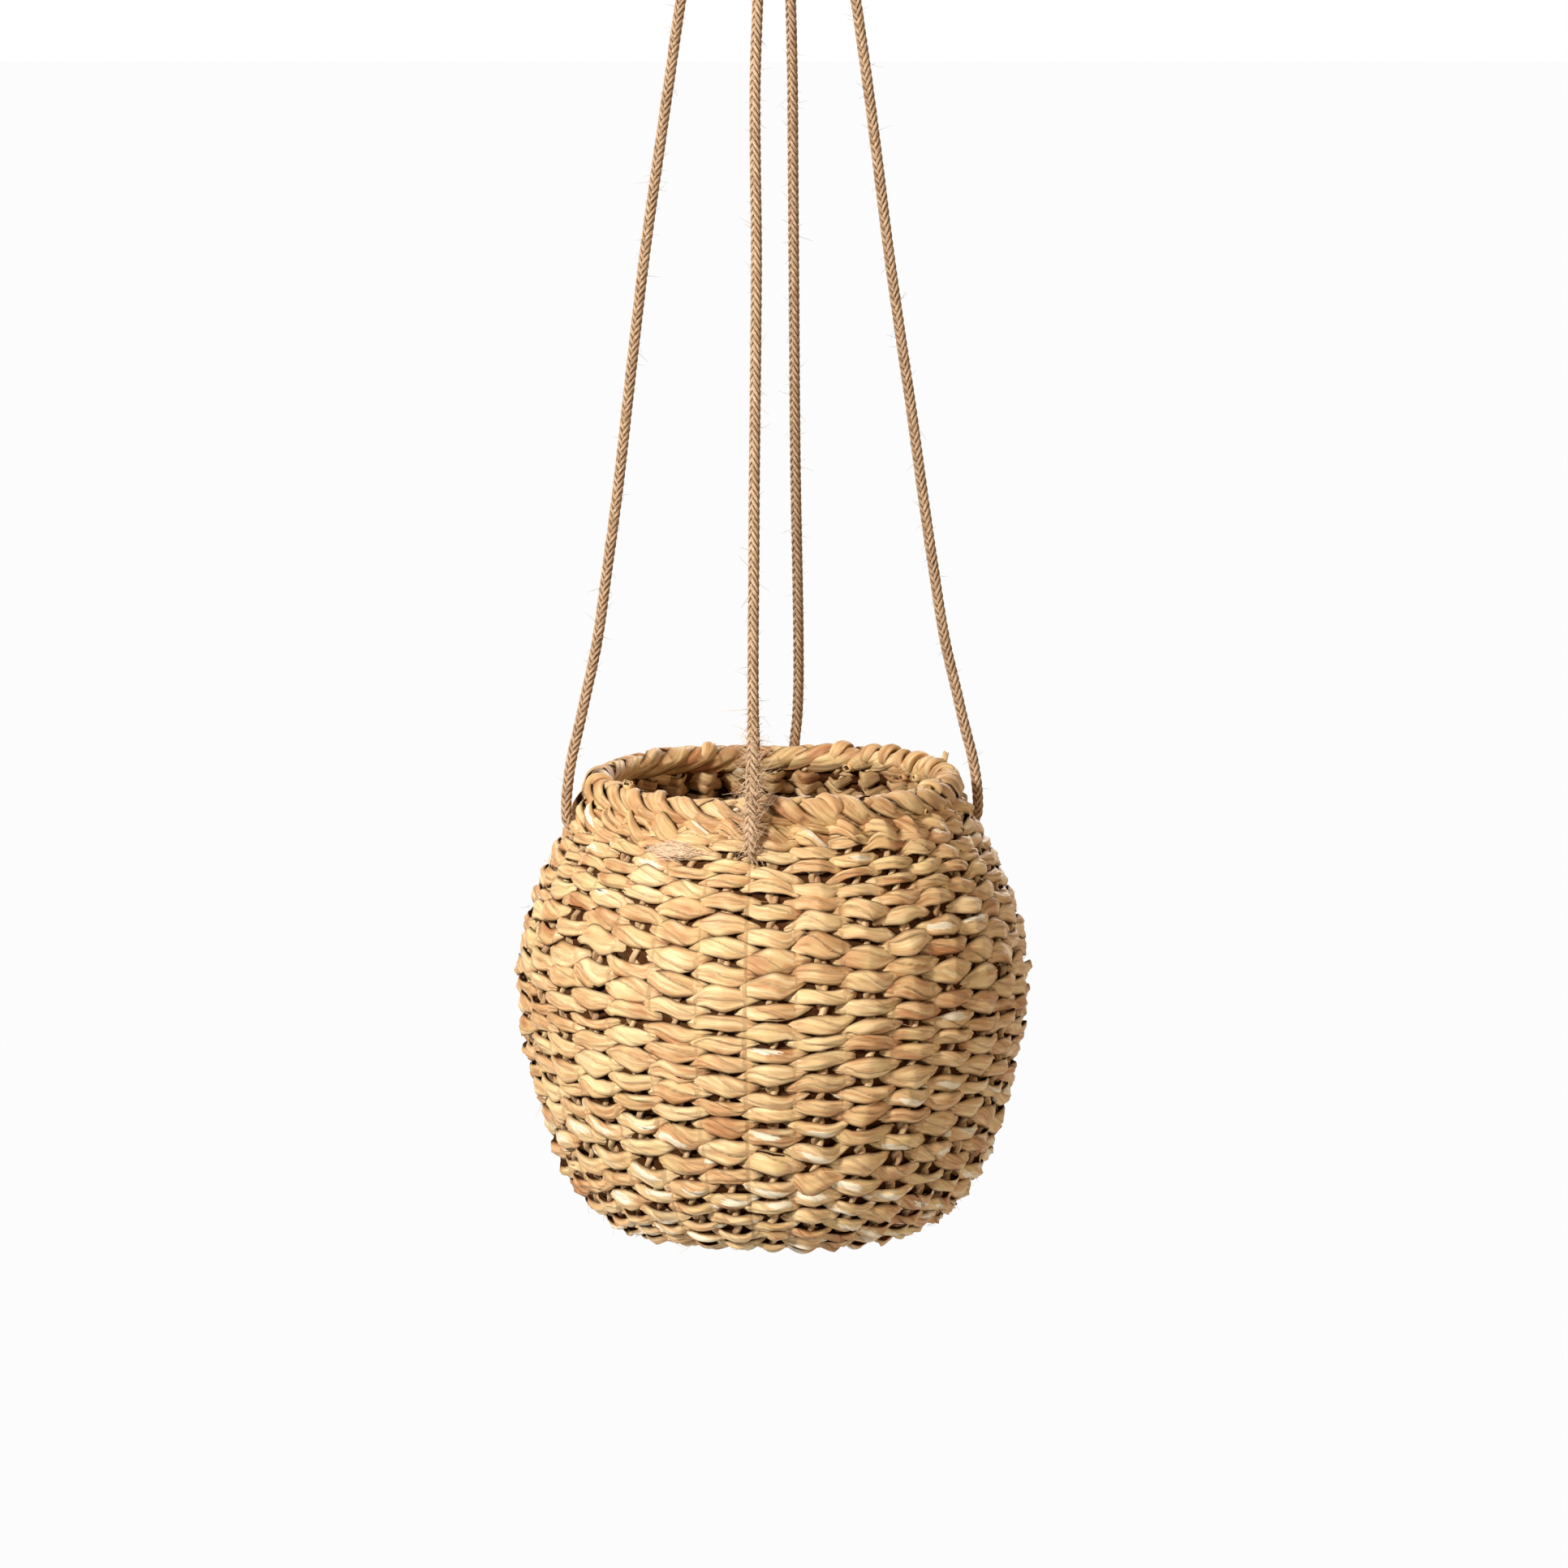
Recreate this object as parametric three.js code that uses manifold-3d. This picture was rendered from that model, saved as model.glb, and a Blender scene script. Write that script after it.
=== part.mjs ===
// Hanging basket: a round belly basket woven from dried grass, on four braided jute cords.
// Millimetres, +Z up. The origin is the point of the hook inside the top of the hanging loop,
// and the photographed side faces -Y.
import * as THREE from 'three';
import { mergeVertices } from 'three/addons/utils/BufferGeometryUtils.js';
import Module from 'manifold-3d';

const wasm = await Module();
wasm.setup();

// Driving sizes of the basket
const bellyRadius = 125;        // outside, at the widest level
const rimHeight = 98;           // from the widest level up to the border, as the outline counts it
const baseDepth = 122;          // from the widest level down to the underside
const hangDrop = 770;           // from the hook point down to the widest level
const seatGap = 0.3;            // between pieces that rest on each other

// The wall, from outside to inside: woven rows, stakes, inner strands
const rowThickness = 3.4;
const stakeRadius = 1.7;
const stakeGap = 0.8;            // play between the stakes and the strands on both sides
const innerThickness = 2.2;
const rowChamfer = 1.6;
const rowsUnderCords = 2;       // the highest rows, which make room for the cords
const wallSides = 32;
const halvings = 30;            // steps of the search for a height on the outline

// Outline of the outside: shares of the rim height or base depth, and of the belly radius
const upperWallShares = [[0.95, 0.742], [0.89, 0.760], [0.81, 0.794], [0.69, 0.848],
  [0.57, 0.895], [0.38, 0.952], [0.20, 0.986]];
const lowerWallShares = [[0.20, 0.986], [0.36, 0.953], [0.52, 0.912], [0.68, 0.862],
  [0.78, 0.815], [0.87, 0.755], [0.94, 0.690], [0.99, 0.610]];
const baseEdgeShare = 0.58;     // of the belly radius, where the wall turns into the base

// Heights of the woven rows, counted from the base edge up, as shares of a plain row
const rowHeightShares = [0.85, 0.9, 1.0, 1.1, 1.15, 1.2, 1.15, 1.05, 1.0, 0.95, 0.95,
  0.95, 1.0, 1.05, 1.05, 1.0, 0.95, 0.9, 0.82, 0.75, 0.72];

// Border: a thick rope of turned-down stakes, and a thinner twisted row under it
const ropeThickness = 12;
const ropeSides = 6;
const lowerBorderHeight = 9;

// Base
const baseRoundCount = 3;
const baseOpenRadius = 20;      // inside the rounds, where the crossing of the stakes shows
const floorRoundCount = 2;

// Stakes: long ones that cross under the middle and run up both sides
const stakesPerGroup = 8;
const stakePitch = 4.2;         // side by side in the crossing
const crossingReach = 19;       // half of the straight stretch in the crossing
const spreadRadius = 36;        // where all stakes lie level again, spread like spokes
const stakeSides = 4;
const wallStations = 13;        // places along each side of a stake
const innerBandCount = 3;

// Cords and what they end in
const cordRadius = 2.5;
const cordSides = 8;
const cordStep = 15;            // three diameters
const cordClearance = 0.35;
const cordEntryShare = 0.767;   // height of the cords' way through the inner strands, of the rim height
const stopperRadius = 7.5;
const stopperSides = 8;
const knotRadius = 9;
const knotDrop = 47;            // from the hook point to the middle of the gather knot
const whippingRadius = 8;
const whippingLength = 24;      // from the top edge to the lowest point
const whippingEndSteps = 3;     // facets of its rounded lower end
const cupTurns = [0.8, 0.5, 0.25];  // radians from the cup's middle to its rim and steps
const roundSides = 12;

// The frayed end of jute that lies on the wall under the border
const tuftLength = 24;
const tuftHeight = 7;
const tuftThickness = 2;
const tuftTurn = THREE.MathUtils.degToRad(-28);
const tuftHeightShare = 0.77;   // of the rim height

// Cord routes, chosen by hand, from the gather down to the stopper knot
const leftRoute = [[-3.9, 0, -77.1], [-16.5, -1.5, -150], [-29.7, -2.9, -222], [-43.7, -4.2, -297],
  [-49.3, -4.8, -335], [-55, -5.4, -374], [-60.6, -5.9, -413], [-65.4, -6.4, -452],
  [-69.9, -6.8, -491], [-74.4, -7.3, -530], [-79.7, -7.8, -569], [-85.6, -8.4, -609],
  [-90.2, -8.8, -630], [-94.2, -9.2, -648], [-97.4, -9.6, -662], [-99.2, -9.7, -675],
  [-99.9, -9.8, -684], [-99.5, -9.8, -690.5], [-97.6, -9.6, -694.6], [-91.4, -9, -700.7]];
const rightRoute = [[3.9, 0, -77.1], [15.5, 1.5, -150], [27.4, 2.7, -222], [39.8, 3.9, -297],
  [45.3, 4.4, -335], [50.4, 4.9, -374], [55.3, 5.4, -413], [60.8, 6, -452],
  [66.6, 6.5, -491], [72, 7, -530], [77.7, 7.6, -569], [84.3, 8.3, -609],
  [89, 8.7, -629], [93.4, 9.2, -648], [97, 9.5, -662], [99.2, 9.7, -675],
  [99.9, 9.8, -684], [99.5, 9.8, -690.5], [97.6, 9.6, -694.6], [91.4, 9, -700.7]];
const frontRoute = [[0, -3.9, -77.1], [-2.2, -16, -150], [-4.6, -28.8, -222], [-6.9, -41.8, -297],
  [-8.1, -47.5, -334], [-8, -53.2, -372], [-7.5, -58.8, -410], [-7.7, -64.6, -448],
  [-8.1, -70.3, -485], [-8.5, -75.8, -523], [-8.7, -81.4, -561], [-9, -86.8, -599],
  [-9, -90.8, -624], [-8.9, -94.6, -645], [-9.2, -97.6, -661], [-9.6, -99.3, -675],
  [-9.8, -99.9, -684], [-9.8, -99.5, -690.5], [-9.6, -97.6, -694.6], [-9, -91.4, -700.7]];
const backRoute = [[0, 3.9, -77.1], [2.8, 16.2, -150], [5.8, 29, -222], [8.7, 42, -297],
  [9.6, 47.9, -337], [9.9, 53.9, -376], [10.2, 59.9, -416], [10.5, 65.9, -456],
  [10.8, 72, -496], [11.3, 78, -537], [12.1, 84, -578], [12.7, 89.5, -619],
  [12.6, 93.2, -641], [12, 96.3, -655], [11, 98.3, -665], [10.2, 99.4, -675],
  [9.8, 99.9, -684], [9.8, 99.5, -690.5], [9.6, 97.6, -694.6], [9, 91.4, -700.7]];
const loopRoute = [[-3.5, 0, -38.4], [-6.4, 0, -31], [-9.9, 0, -22.5], [-11.8, 0, -13.5],
  [-11.1, 0, -5.5], [-7.2, 0, 0.6], [0, 0, 2.5], [7.2, 0, 0.6],
  [11.1, 0, -5.5], [11.8, 0, -13.5], [9.9, 0, -22.5], [6.4, 0, -31], [3.5, 0, -38.4]];

// Materials
const straw = new THREE.MeshStandardMaterial({ color: 0xc99a62, roughness: 0.75, metalness: 0 });
const paleStraw = new THREE.MeshStandardMaterial({ color: 0xd8b07a, roughness: 0.8, metalness: 0 });
const borderStraw = new THREE.MeshStandardMaterial({ color: 0xbb8850, roughness: 0.72, metalness: 0 });
const jute = new THREE.MeshStandardMaterial({ color: 0xa9865f, roughness: 0.95, metalness: 0 });

const object = new THREE.Group();
const basket = new THREE.Group();
basket.position.z = -hangDrop;
object.add(basket);

function addPiece(parent, name, geometry, material) {
  const mesh = new THREE.Mesh(geometry, material);
  mesh.name = name;
  parent.add(mesh);
  return mesh;
}

// Outside of the wall, from the border down to the base edge, in radius and height
const wallCurve = new THREE.SplineCurve([
  ...upperWallShares.map(([height, radius]) => new THREE.Vector2(radius * bellyRadius, height * rimHeight)),
  new THREE.Vector2(bellyRadius, 0),
  ...lowerWallShares.map(([depth, radius]) => new THREE.Vector2(radius * bellyRadius, -depth * baseDepth)),
  new THREE.Vector2(baseEdgeShare * bellyRadius, -baseDepth),
]);
const wallLength = wallCurve.getLength();

// A point of the wall at a distance along the outline, moved inward by the inset
function wallPoint(distance, inset) {
  const along = THREE.MathUtils.clamp(distance / wallLength, 0, 1);
  const point = wallCurve.getPointAt(along);
  const way = wallCurve.getTangentAt(along);
  return new THREE.Vector2(point.x + way.y * inset, point.y - way.x * inset);
}

// Distance along the outline at which it passes a height above the widest level
function distanceAtHeight(height) {
  let low = 0;
  let high = wallLength;
  for (let halving = 0; halving < halvings; halving += 1) {
    const middle = (low + high) / 2;
    if (wallPoint(middle, 0).y > height) low = middle;
    else high = middle;
  }
  return (low + high) / 2;
}

// A ring about the basket's axis; the section runs anticlockwise in radius and height
function ringGeometry(section, sides) {
  const outline = [...section, section[0]];
  return new THREE.LatheGeometry(outline, sides).rotateX(Math.PI / 2);
}

// One round of the weave between two distances along the wall
function rowSection(start, end, inset, thickness) {
  return [
    wallPoint(end - rowChamfer, inset),
    wallPoint(start + rowChamfer, inset),
    wallPoint(start, inset + thickness),
    wallPoint(end, inset + thickness),
  ];
}

function merged(geometry) {
  const plain = geometry.clone();
  plain.deleteAttribute('normal');
  plain.deleteAttribute('uv');
  return mergeVertices(plain);
}

function solidOf(geometry) {
  const plain = merged(geometry);
  return new wasm.Manifold(new wasm.Mesh({
    numProp: 3,
    vertProperties: new Float32Array(plain.attributes.position.array),
    triVerts: new Uint32Array(plain.index.array),
  }));
}

function cutAway(geometry, cutters) {
  let solid = solidOf(geometry);
  for (const cutter of cutters) solid = solid.subtract(solidOf(cutter));
  const mesh = solid.getMesh();
  const result = new THREE.BufferGeometry();
  result.setAttribute('position', new THREE.BufferAttribute(mesh.vertProperties, 3));
  result.setIndex(new THREE.BufferAttribute(mesh.triVerts, 1));
  result.computeVertexNormals();
  return result;
}

function roundSection(radius, sides) {
  const corners = [];
  for (let corner = 0; corner < sides; corner += 1) {
    const turn = (corner / sides) * 2 * Math.PI;
    corners.push(new THREE.Vector2(radius * Math.cos(turn), radius * Math.sin(turn)));
  }
  return new THREE.Shape(corners);
}

function cordGeometry(route, radius) {
  const path = new THREE.CatmullRomCurve3(route.map((point) => new THREE.Vector3(...point)));
  const steps = Math.ceil(path.getLength() / cordStep);
  return new THREE.ExtrudeGeometry(roundSection(radius, cordSides), { steps, extrudePath: path });
}

// A path that a sweep follows from one given station to the next
class StationPath extends THREE.Curve {
  constructor(stations) {
    super();
    this.stations = stations;
  }

  getPoint(share, target = new THREE.Vector3()) {
    const last = this.stations.length - 1;
    const place = share * last;
    const before = Math.min(Math.floor(place), last - 1);
    return target.lerpVectors(this.stations[before], this.stations[before + 1], place - before);
  }

  getPointAt(share, target) {
    return this.getPoint(share, target);
  }

  getTangentAt(share, target = new THREE.Vector3()) {
    const last = this.stations.length - 1;
    const here = Math.round(share * last);
    const before = this.stations[Math.max(here - 1, 0)];
    const after = this.stations[Math.min(here + 1, last)];
    return target.subVectors(after, before).normalize();
  }
}

// Places along the outline
const rowsStart = lowerBorderHeight;
const plainRow = (wallLength - rowsStart) / rowHeightShares.reduce((sum, share) => sum + share, 0);
const stakeInset = rowThickness + stakeGap + stakeRadius;
const innerInset = stakeInset + stakeRadius + stakeGap;
const bandsEnd = wallLength - plainRow;

// Cords in the basket's own frame, with their clearance, to cut their way through the wall
function passage(route) {
  return cordGeometry(route, cordRadius + cordClearance).translate(0, 0, hangDrop);
}
const routes = { left: leftRoute, front: frontRoute, right: rightRoute, back: backRoute };
const passages = Object.values(routes).map(passage);

// A cord's way through the inner strands, sloping down and inward where the wall is
function cordEntry(route) {
  const end = route[route.length - 1];
  const turn = Math.atan2(end[1], end[0]);
  const middle = wallPoint(distanceAtHeight(cordEntryShare * rimHeight), innerInset + innerThickness / 2);
  const reach = innerThickness + cordRadius;
  const ends = [reach, -reach].map((step) => new THREE.Vector3(
    (middle.x + step) * Math.cos(turn), (middle.x + step) * Math.sin(turn), middle.y + step));
  const section = roundSection(cordRadius + cordClearance, cordSides);
  return new THREE.ExtrudeGeometry(section, { steps: 1, extrudePath: new THREE.LineCurve3(...ends) });
}
const cordEntries = Object.values(routes).map(cordEntry);

// Border
function addBorder() {
  const half = ropeThickness / 2;
  const seat = half * Math.cos(Math.PI / ropeSides) + seatGap;
  const way = wallCurve.getTangentAt(0);
  const middle = wallPoint(0, innerInset / 2).addScaledVector(way, -seat);
  const ropeCorners = [];
  for (let corner = 0; corner < ropeSides; corner += 1) {
    const turn = way.angle() + ((corner + 0.5) / ropeSides) * 2 * Math.PI;
    ropeCorners.push(new THREE.Vector2(middle.x + half * Math.cos(turn), middle.y + half * Math.sin(turn)));
  }
  addPiece(basket, 'border_rope', ringGeometry(ropeCorners, wallSides), borderStraw);
  const section = rowSection(0, rowsStart - seatGap, 0, rowThickness);
  addPiece(basket, 'border_lower_twist', cutAway(ringGeometry(section, wallSides), passages), borderStraw);
}

// Woven rows of the wall, numbered from the base up
function addRows() {
  let end = wallLength;
  rowHeightShares.forEach((share, index) => {
    const start = end - share * plainRow;
    const geometry = ringGeometry(rowSection(start + seatGap, end, 0, rowThickness), wallSides);
    const isCut = index >= rowHeightShares.length - rowsUnderCords;
    const name = `weft_row_${String(index + 1).padStart(2, '0')}`;
    addPiece(basket, name, isCut ? cutAway(geometry, passages) : geometry, straw);
    end = start;
  });
}

// Strands of the weave that pass inside the stakes, in bands
function addInnerBands() {
  const bandLength = bandsEnd / innerBandCount;
  for (let band = 0; band < innerBandCount; band += 1) {
    const start = band * bandLength;
    const end = start + bandLength - seatGap;
    const middle = (start + end) / 2;
    const section = [
      wallPoint(end, innerInset), wallPoint(middle, innerInset), wallPoint(start, innerInset),
      wallPoint(start, innerInset + innerThickness), wallPoint(middle, innerInset + innerThickness),
      wallPoint(end, innerInset + innerThickness),
    ];
    const geometry = ringGeometry(section, wallSides);
    const name = `inner_weave_band_${innerBandCount - band}`;
    const cutters = [...passages, ...cordEntries];
    addPiece(basket, name, band === 0 ? cutAway(geometry, cutters) : geometry, straw);
  }
}

// Flat rounds of the base, under the stakes and over them
function flatRound(innerRadius, outerRadius, low, high) {
  return ringGeometry([
    new THREE.Vector2(innerRadius, low), new THREE.Vector2(outerRadius, low),
    new THREE.Vector2(outerRadius, high), new THREE.Vector2(innerRadius, high),
  ], wallSides);
}

function addBase() {
  const baseRadius = wallPoint(wallLength, rowThickness).x - seatGap;
  const width = (baseRadius - baseOpenRadius) / baseRoundCount;
  for (let round = 0; round < baseRoundCount; round += 1) {
    const inner = baseOpenRadius + round * width;
    const geometry = flatRound(inner + seatGap, inner + width, -baseDepth, rowThickness - baseDepth);
    addPiece(basket, `base_round_${round + 1}`, geometry, straw);
  }
  const floorLow = innerInset - baseDepth;
  const floorInner = spreadRadius + stakeRadius;
  const floorRadius = wallPoint(wallLength, stakeInset).x - seatGap;
  const floorWidth = (floorRadius - floorInner) / floorRoundCount;
  for (let round = 0; round < floorRoundCount; round += 1) {
    const inner = floorInner + round * floorWidth;
    const geometry = flatRound(inner + seatGap, inner + floorWidth, floorLow, floorLow + innerThickness);
    addPiece(basket, `floor_round_${round + 1}`, geometry, straw);
  }
}

// Stakes
const stakeTurn = 2 * Math.PI / (4 * stakesPerGroup);

function stakeSide(turn, groupTurn, offset, crossingHeight) {
  const level = stakeInset - baseDepth;
  const stations = [];
  for (let station = 0; station < wallStations; station += 1) {
    const distance = wallLength * (station / (wallStations - 1));
    const point = wallPoint(distance, stakeInset);
    stations.push(new THREE.Vector3(point.x * Math.cos(turn), point.x * Math.sin(turn), point.y));
  }
  stations.push(new THREE.Vector3(spreadRadius * Math.cos(turn), spreadRadius * Math.sin(turn), level));
  const along = crossingReach * Math.sign(Math.cos(turn - groupTurn));
  stations.push(new THREE.Vector3(
    along * Math.cos(groupTurn) - offset * Math.sin(groupTurn),
    along * Math.sin(groupTurn) + offset * Math.cos(groupTurn),
    crossingHeight,
  ));
  return stations;
}

function addStakes() {
  const level = stakeInset - baseDepth;
  for (let group = 0; group < 2; group += 1) {
    const groupTurn = stakeTurn / 2 + group * Math.PI / 2;
    const crossingHeight = level + group * (2 * stakeRadius + seatGap);
    for (let stake = 0; stake < stakesPerGroup; stake += 1) {
      const place = stake - (stakesPerGroup - 1) / 2;
      const offset = place * stakePitch;
      const near = stakeSide(groupTurn + place * stakeTurn, groupTurn, offset, crossingHeight);
      const far = stakeSide(groupTurn + Math.PI - place * stakeTurn, groupTurn, offset, crossingHeight);
      const path = new StationPath([...near, ...far.reverse()]);
      const steps = path.stations.length - 1;
      const section = roundSection(stakeRadius, stakeSides);
      const geometry = new THREE.ExtrudeGeometry(section, { steps, extrudePath: path });
      const number = group * stakesPerGroup + stake + 1;
      addPiece(basket, `stake_${String(number).padStart(2, '0')}`, geometry, paleStraw);
    }
  }
}

// Cords, their stopper knots inside the wall, and the frayed end under the border
function addCords() {
  for (const [side, route] of Object.entries(routes)) {
    addPiece(object, `cord_${side}`, cordGeometry(route, cordRadius), jute);
    const end = new THREE.Vector3(...route[route.length - 1]);
    const before = new THREE.Vector3(...route[route.length - 2]);
    const way = end.clone().sub(before).normalize();
    const knot = addPiece(object, `stopper_knot_${side}`,
      new THREE.SphereGeometry(stopperRadius, stopperSides, stopperSides - 2), jute);
    knot.position.copy(end).addScaledVector(way, stopperRadius + seatGap);
  }
}

function addTuft() {
  const distance = distanceAtHeight(tuftHeightShare * rimHeight);
  const stand = wallPoint(distance, -(seatGap + tuftThickness / 2));
  const way = wallCurve.getTangentAt(distance / wallLength);
  const geometry = new THREE.SphereGeometry(1, stopperSides, stopperSides - 2);
  geometry.scale(tuftLength / 2, tuftThickness / 2, tuftHeight / 2);
  geometry.rotateX(-Math.atan2(way.x, -way.y));
  const tuft = addPiece(basket, 'frayed_cord_end', geometry, jute);
  tuft.position.set(stand.x * Math.sin(tuftTurn), -stand.x * Math.cos(tuftTurn), stand.y);
  tuft.rotation.z = tuftTurn;
}

// Gather knot, whipping and hanging loop
function addTop() {
  const ball = new THREE.SphereGeometry(knotRadius, roundSides, roundSides - 2);
  const knot = addPiece(object, 'gather_knot', ball, jute);
  knot.position.z = -knotDrop;
  const cupRadius = knotRadius + seatGap;
  const outline = [];
  for (let step = 0; step <= whippingEndSteps; step += 1) {
    const turn = (step / whippingEndSteps) * Math.PI / 2;
    outline.push(new THREE.Vector2(whippingRadius * Math.sin(turn), whippingRadius * (1 - Math.cos(turn))));
  }
  outline.push(new THREE.Vector2(whippingRadius, whippingLength));
  const cupMiddle = whippingLength + cupRadius * Math.cos(cupTurns[0]);
  outline.push(new THREE.Vector2(cupRadius * Math.sin(cupTurns[0]) + seatGap, whippingLength));
  for (const turn of cupTurns.slice(1)) {
    const height = cupMiddle - cupRadius * Math.cos(turn) - seatGap / 2;
    outline.push(new THREE.Vector2(cupRadius * Math.sin(turn), height));
  }
  outline.push(new THREE.Vector2(0, cupMiddle - cupRadius - seatGap / 2));
  const geometry = new THREE.LatheGeometry(outline, roundSides).rotateX(Math.PI / 2);
  const whipping = addPiece(object, 'whipping', geometry, jute);
  whipping.position.z = -knotDrop - cupMiddle;
  addPiece(object, 'hanging_loop', cordGeometry(loopRoute, cordRadius), jute);
}

addBorder();
addRows();
addInnerBands();
addBase();
addStakes();
addCords();
addTuft();
addTop();

export default object;
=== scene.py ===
"""A hanging basket woven from dried grass, on four braided jute cords: its looks, lights and camera.

Metres, +Z up, the photographed side faces -Y. A turn round the basket is counted from the front
towards +X. Distances along the wall run from the border down to the base and in to its middle."""

import math
import zlib

import bpy
import numpy as np
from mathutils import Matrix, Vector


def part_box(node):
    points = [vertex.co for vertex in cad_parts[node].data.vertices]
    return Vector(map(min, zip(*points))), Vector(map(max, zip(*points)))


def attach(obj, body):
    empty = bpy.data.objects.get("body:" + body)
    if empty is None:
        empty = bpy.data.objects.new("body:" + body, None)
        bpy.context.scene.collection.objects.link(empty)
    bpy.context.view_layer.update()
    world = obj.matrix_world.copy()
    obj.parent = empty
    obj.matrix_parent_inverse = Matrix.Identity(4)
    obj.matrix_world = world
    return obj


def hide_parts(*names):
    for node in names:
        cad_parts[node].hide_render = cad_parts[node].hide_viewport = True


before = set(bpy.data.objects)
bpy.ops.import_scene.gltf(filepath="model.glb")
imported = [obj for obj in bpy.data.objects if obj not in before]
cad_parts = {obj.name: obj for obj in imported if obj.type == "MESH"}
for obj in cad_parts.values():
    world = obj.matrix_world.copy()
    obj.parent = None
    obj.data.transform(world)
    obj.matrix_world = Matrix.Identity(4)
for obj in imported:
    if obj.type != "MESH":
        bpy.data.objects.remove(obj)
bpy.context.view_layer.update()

FULL_TURN = 2 * np.pi
FRONT = (0.0, -1.0, 0.0)
ALONG_X = np.array([1.0, 0, 0])
ALONG_Y = np.array([0, 1.0, 0])
UP = np.array([0, 0, 1.0])
LEVEL = np.array([1, 1, 0])  # takes the height off a place

# The wall and its weave
STAKES = 32
ROWS = 21
OUTLINE_STEP = 0.0005
WALL_ABOVE = 0.012  # how far the wall's outline goes on beyond its first ring
BASE_WITHIN = 0.008  # and within its last
STAKE_INSET = 0.0059
STRAND_REACH = 0.0042  # of a strand's middle, out and in from the stakes
STRAND_THICKNESS = 0.0017  # half of it, at the middle of a stitch
CROSSING_THICKNESS = 0.0010
LEAF_SHARE = 0.49  # half the height of a stitch at its middle, of a row's pitch
TAPER_SHARE = 0.43  # what it loses up to the next stake
LEAF_ROUND = 1.2
CROSSING_BIAS = 0.52  # how far outside the stakes a strand crosses, of its reach
DIVE = 2.4  # how late a strand turns in behind a stake
STITCH_STATIONS = (-0.5, -0.42, -0.34, -0.25, -0.15, -0.07, -0.018, 0.018, 0.07, 0.15, 0.25, 0.34, 0.42)
FACE_POINTS = 17  # across the outer face of a strand
BACK_POINTS = 7  # across its inner face
FACE_WRAP = 0.97  # how far round the points of the outer face reach
BACK_WRAP = 0.9
EDGE_ROUND = 3.2  # how square a strand's edges are
FOLDS = ((0.13, 7.5, 1.0), (0.08, 15, -1.7))  # height, closeness and shift of its creases
BLADE_EDGE = 0.13  # how wide the step is where one blade lies over another
SEAM_WIDTH = 0.11  # of the groove beside it
SEAM_SHADE_WIDTH = 0.1  # and of the line of painted shade in it
TORN_SIZE = 0.38  # of a patch of pith, of a stitch
TILT_SHARE = 0.35  # of a row's pitch, for stitches that lie aslant
GRAIN_SHARE = 0.42  # of a row's pitch, for the grain across a strand
GRAIN_TWIST = 0.8
BAND_THICKNESS = 0.0006  # half that of the band of painted shade behind a strand
BAND_OUTSIDE = (0.08, 0.28)  # half its height behind an outer stitch, of the pitch, and more at the ends
BAND_INSIDE = (0.32, 0.32)  # behind an inner stitch, and more at its middle
SWAYS = ((0.0011, 3, 20, 0), (0.0008, 7, -45, 1), (0.0005, 13, 90, 2))  # height, waves, shift and start
ROW_SCATTER = 0.0014  # of the edges between rows
TOP_ROW_RISE = 0.0040  # of the top row's upper edge, from its ring's middle
WORN_ROWS = 9  # below this row the strands are worn and flat, and more so over the next four
WORN_ROW_BLEND = 4
ROW_HAIRS = (12, 8)  # loose fibres of a row, and more of a worn one
BORDER_HAIRS = 24
HAIR_LENGTH = 0.010
HAIR_RADIUS = 0.00012
HAIR_SCATTER = 0.004
HAIR_INSET = 0.0012
BASE_REACH = 0.0032  # of the strands of the base

# The twisted row under the border, with places along the wall from its ring's middle
TWIST_PLACE = 0.0036
TWIST_PITCH = 0.0108
TWIST_SLANT = 0.0038
TWIST_REACH = 0.0050
PLAIN_PLACES = (-0.0024, 0.0040)
PLAIN_PITCH = 0.0074
PLAIN_APART = 0.0016
PLAIN_REACH = 0.0038
# A sheet of painted shade behind the twisted row: its place, inset, half height and thickness.
SHADE_SHEET_PLACE = -0.0040
SHADE_SHEET_INSET = 0.0064
SHADE_SHEET_HALF = 0.0050
SHADE_SHEET_THICKNESS = 0.0007

# The crossing of the stakes under the middle
STAKES_PER_GROUP = 8
STAKE_TOP = 0.004
STAKE_PITCH = 0.0042
STAKE_STEP = 0.0025
CROSSING_REACH = 0.019
SPREAD_RADIUS = 0.036
PLY_RADIUS = 0.0015
PLY_THICKNESS = 0.0018
PLY_PITCH = 0.017

# The border plait
PLAIT_STRANDS = 7
PLAIT_PERIODS = 5
PLAIT_STATIONS = 80  # in each period
PLAIT_RADIUS = 0.0040  # from the rope's middle to the strands' middles
PLAIT_LIFT = 0.0017
PLAIT_SPREAD = 0.0130  # along the surface, from the crest to the strands' lowest points
PLAIT_INNER_SPREAD = 0.78  # of that, inside
PLAIT_TUCK = 0.0022  # of the lowest points, towards the stakes
PLAIT_THICKNESS = 0.0013
PLAIT_WIDTH = 0.0045  # half of a strand's, at the crest
PLAIT_EDGE_SHARE = 0.75  # of that, at the lowest points outside
PLAIT_INNER_SHARE = 0.9  # and inside
RIM_TILT = (-0.0006, -0.0020)  # of the rim: all round, and more to the front
RIM_WAVE = 0.0007
RIM_INSET = 0.0016
CORE_HEIGHT = 0.0050  # half that of the stake ends inside the plait
CORE_DROP = 0.0022  # of their middle, from the plait's
CORE_OFFSET = 0.0006
CORE_WIDTH = 0.0012

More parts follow.
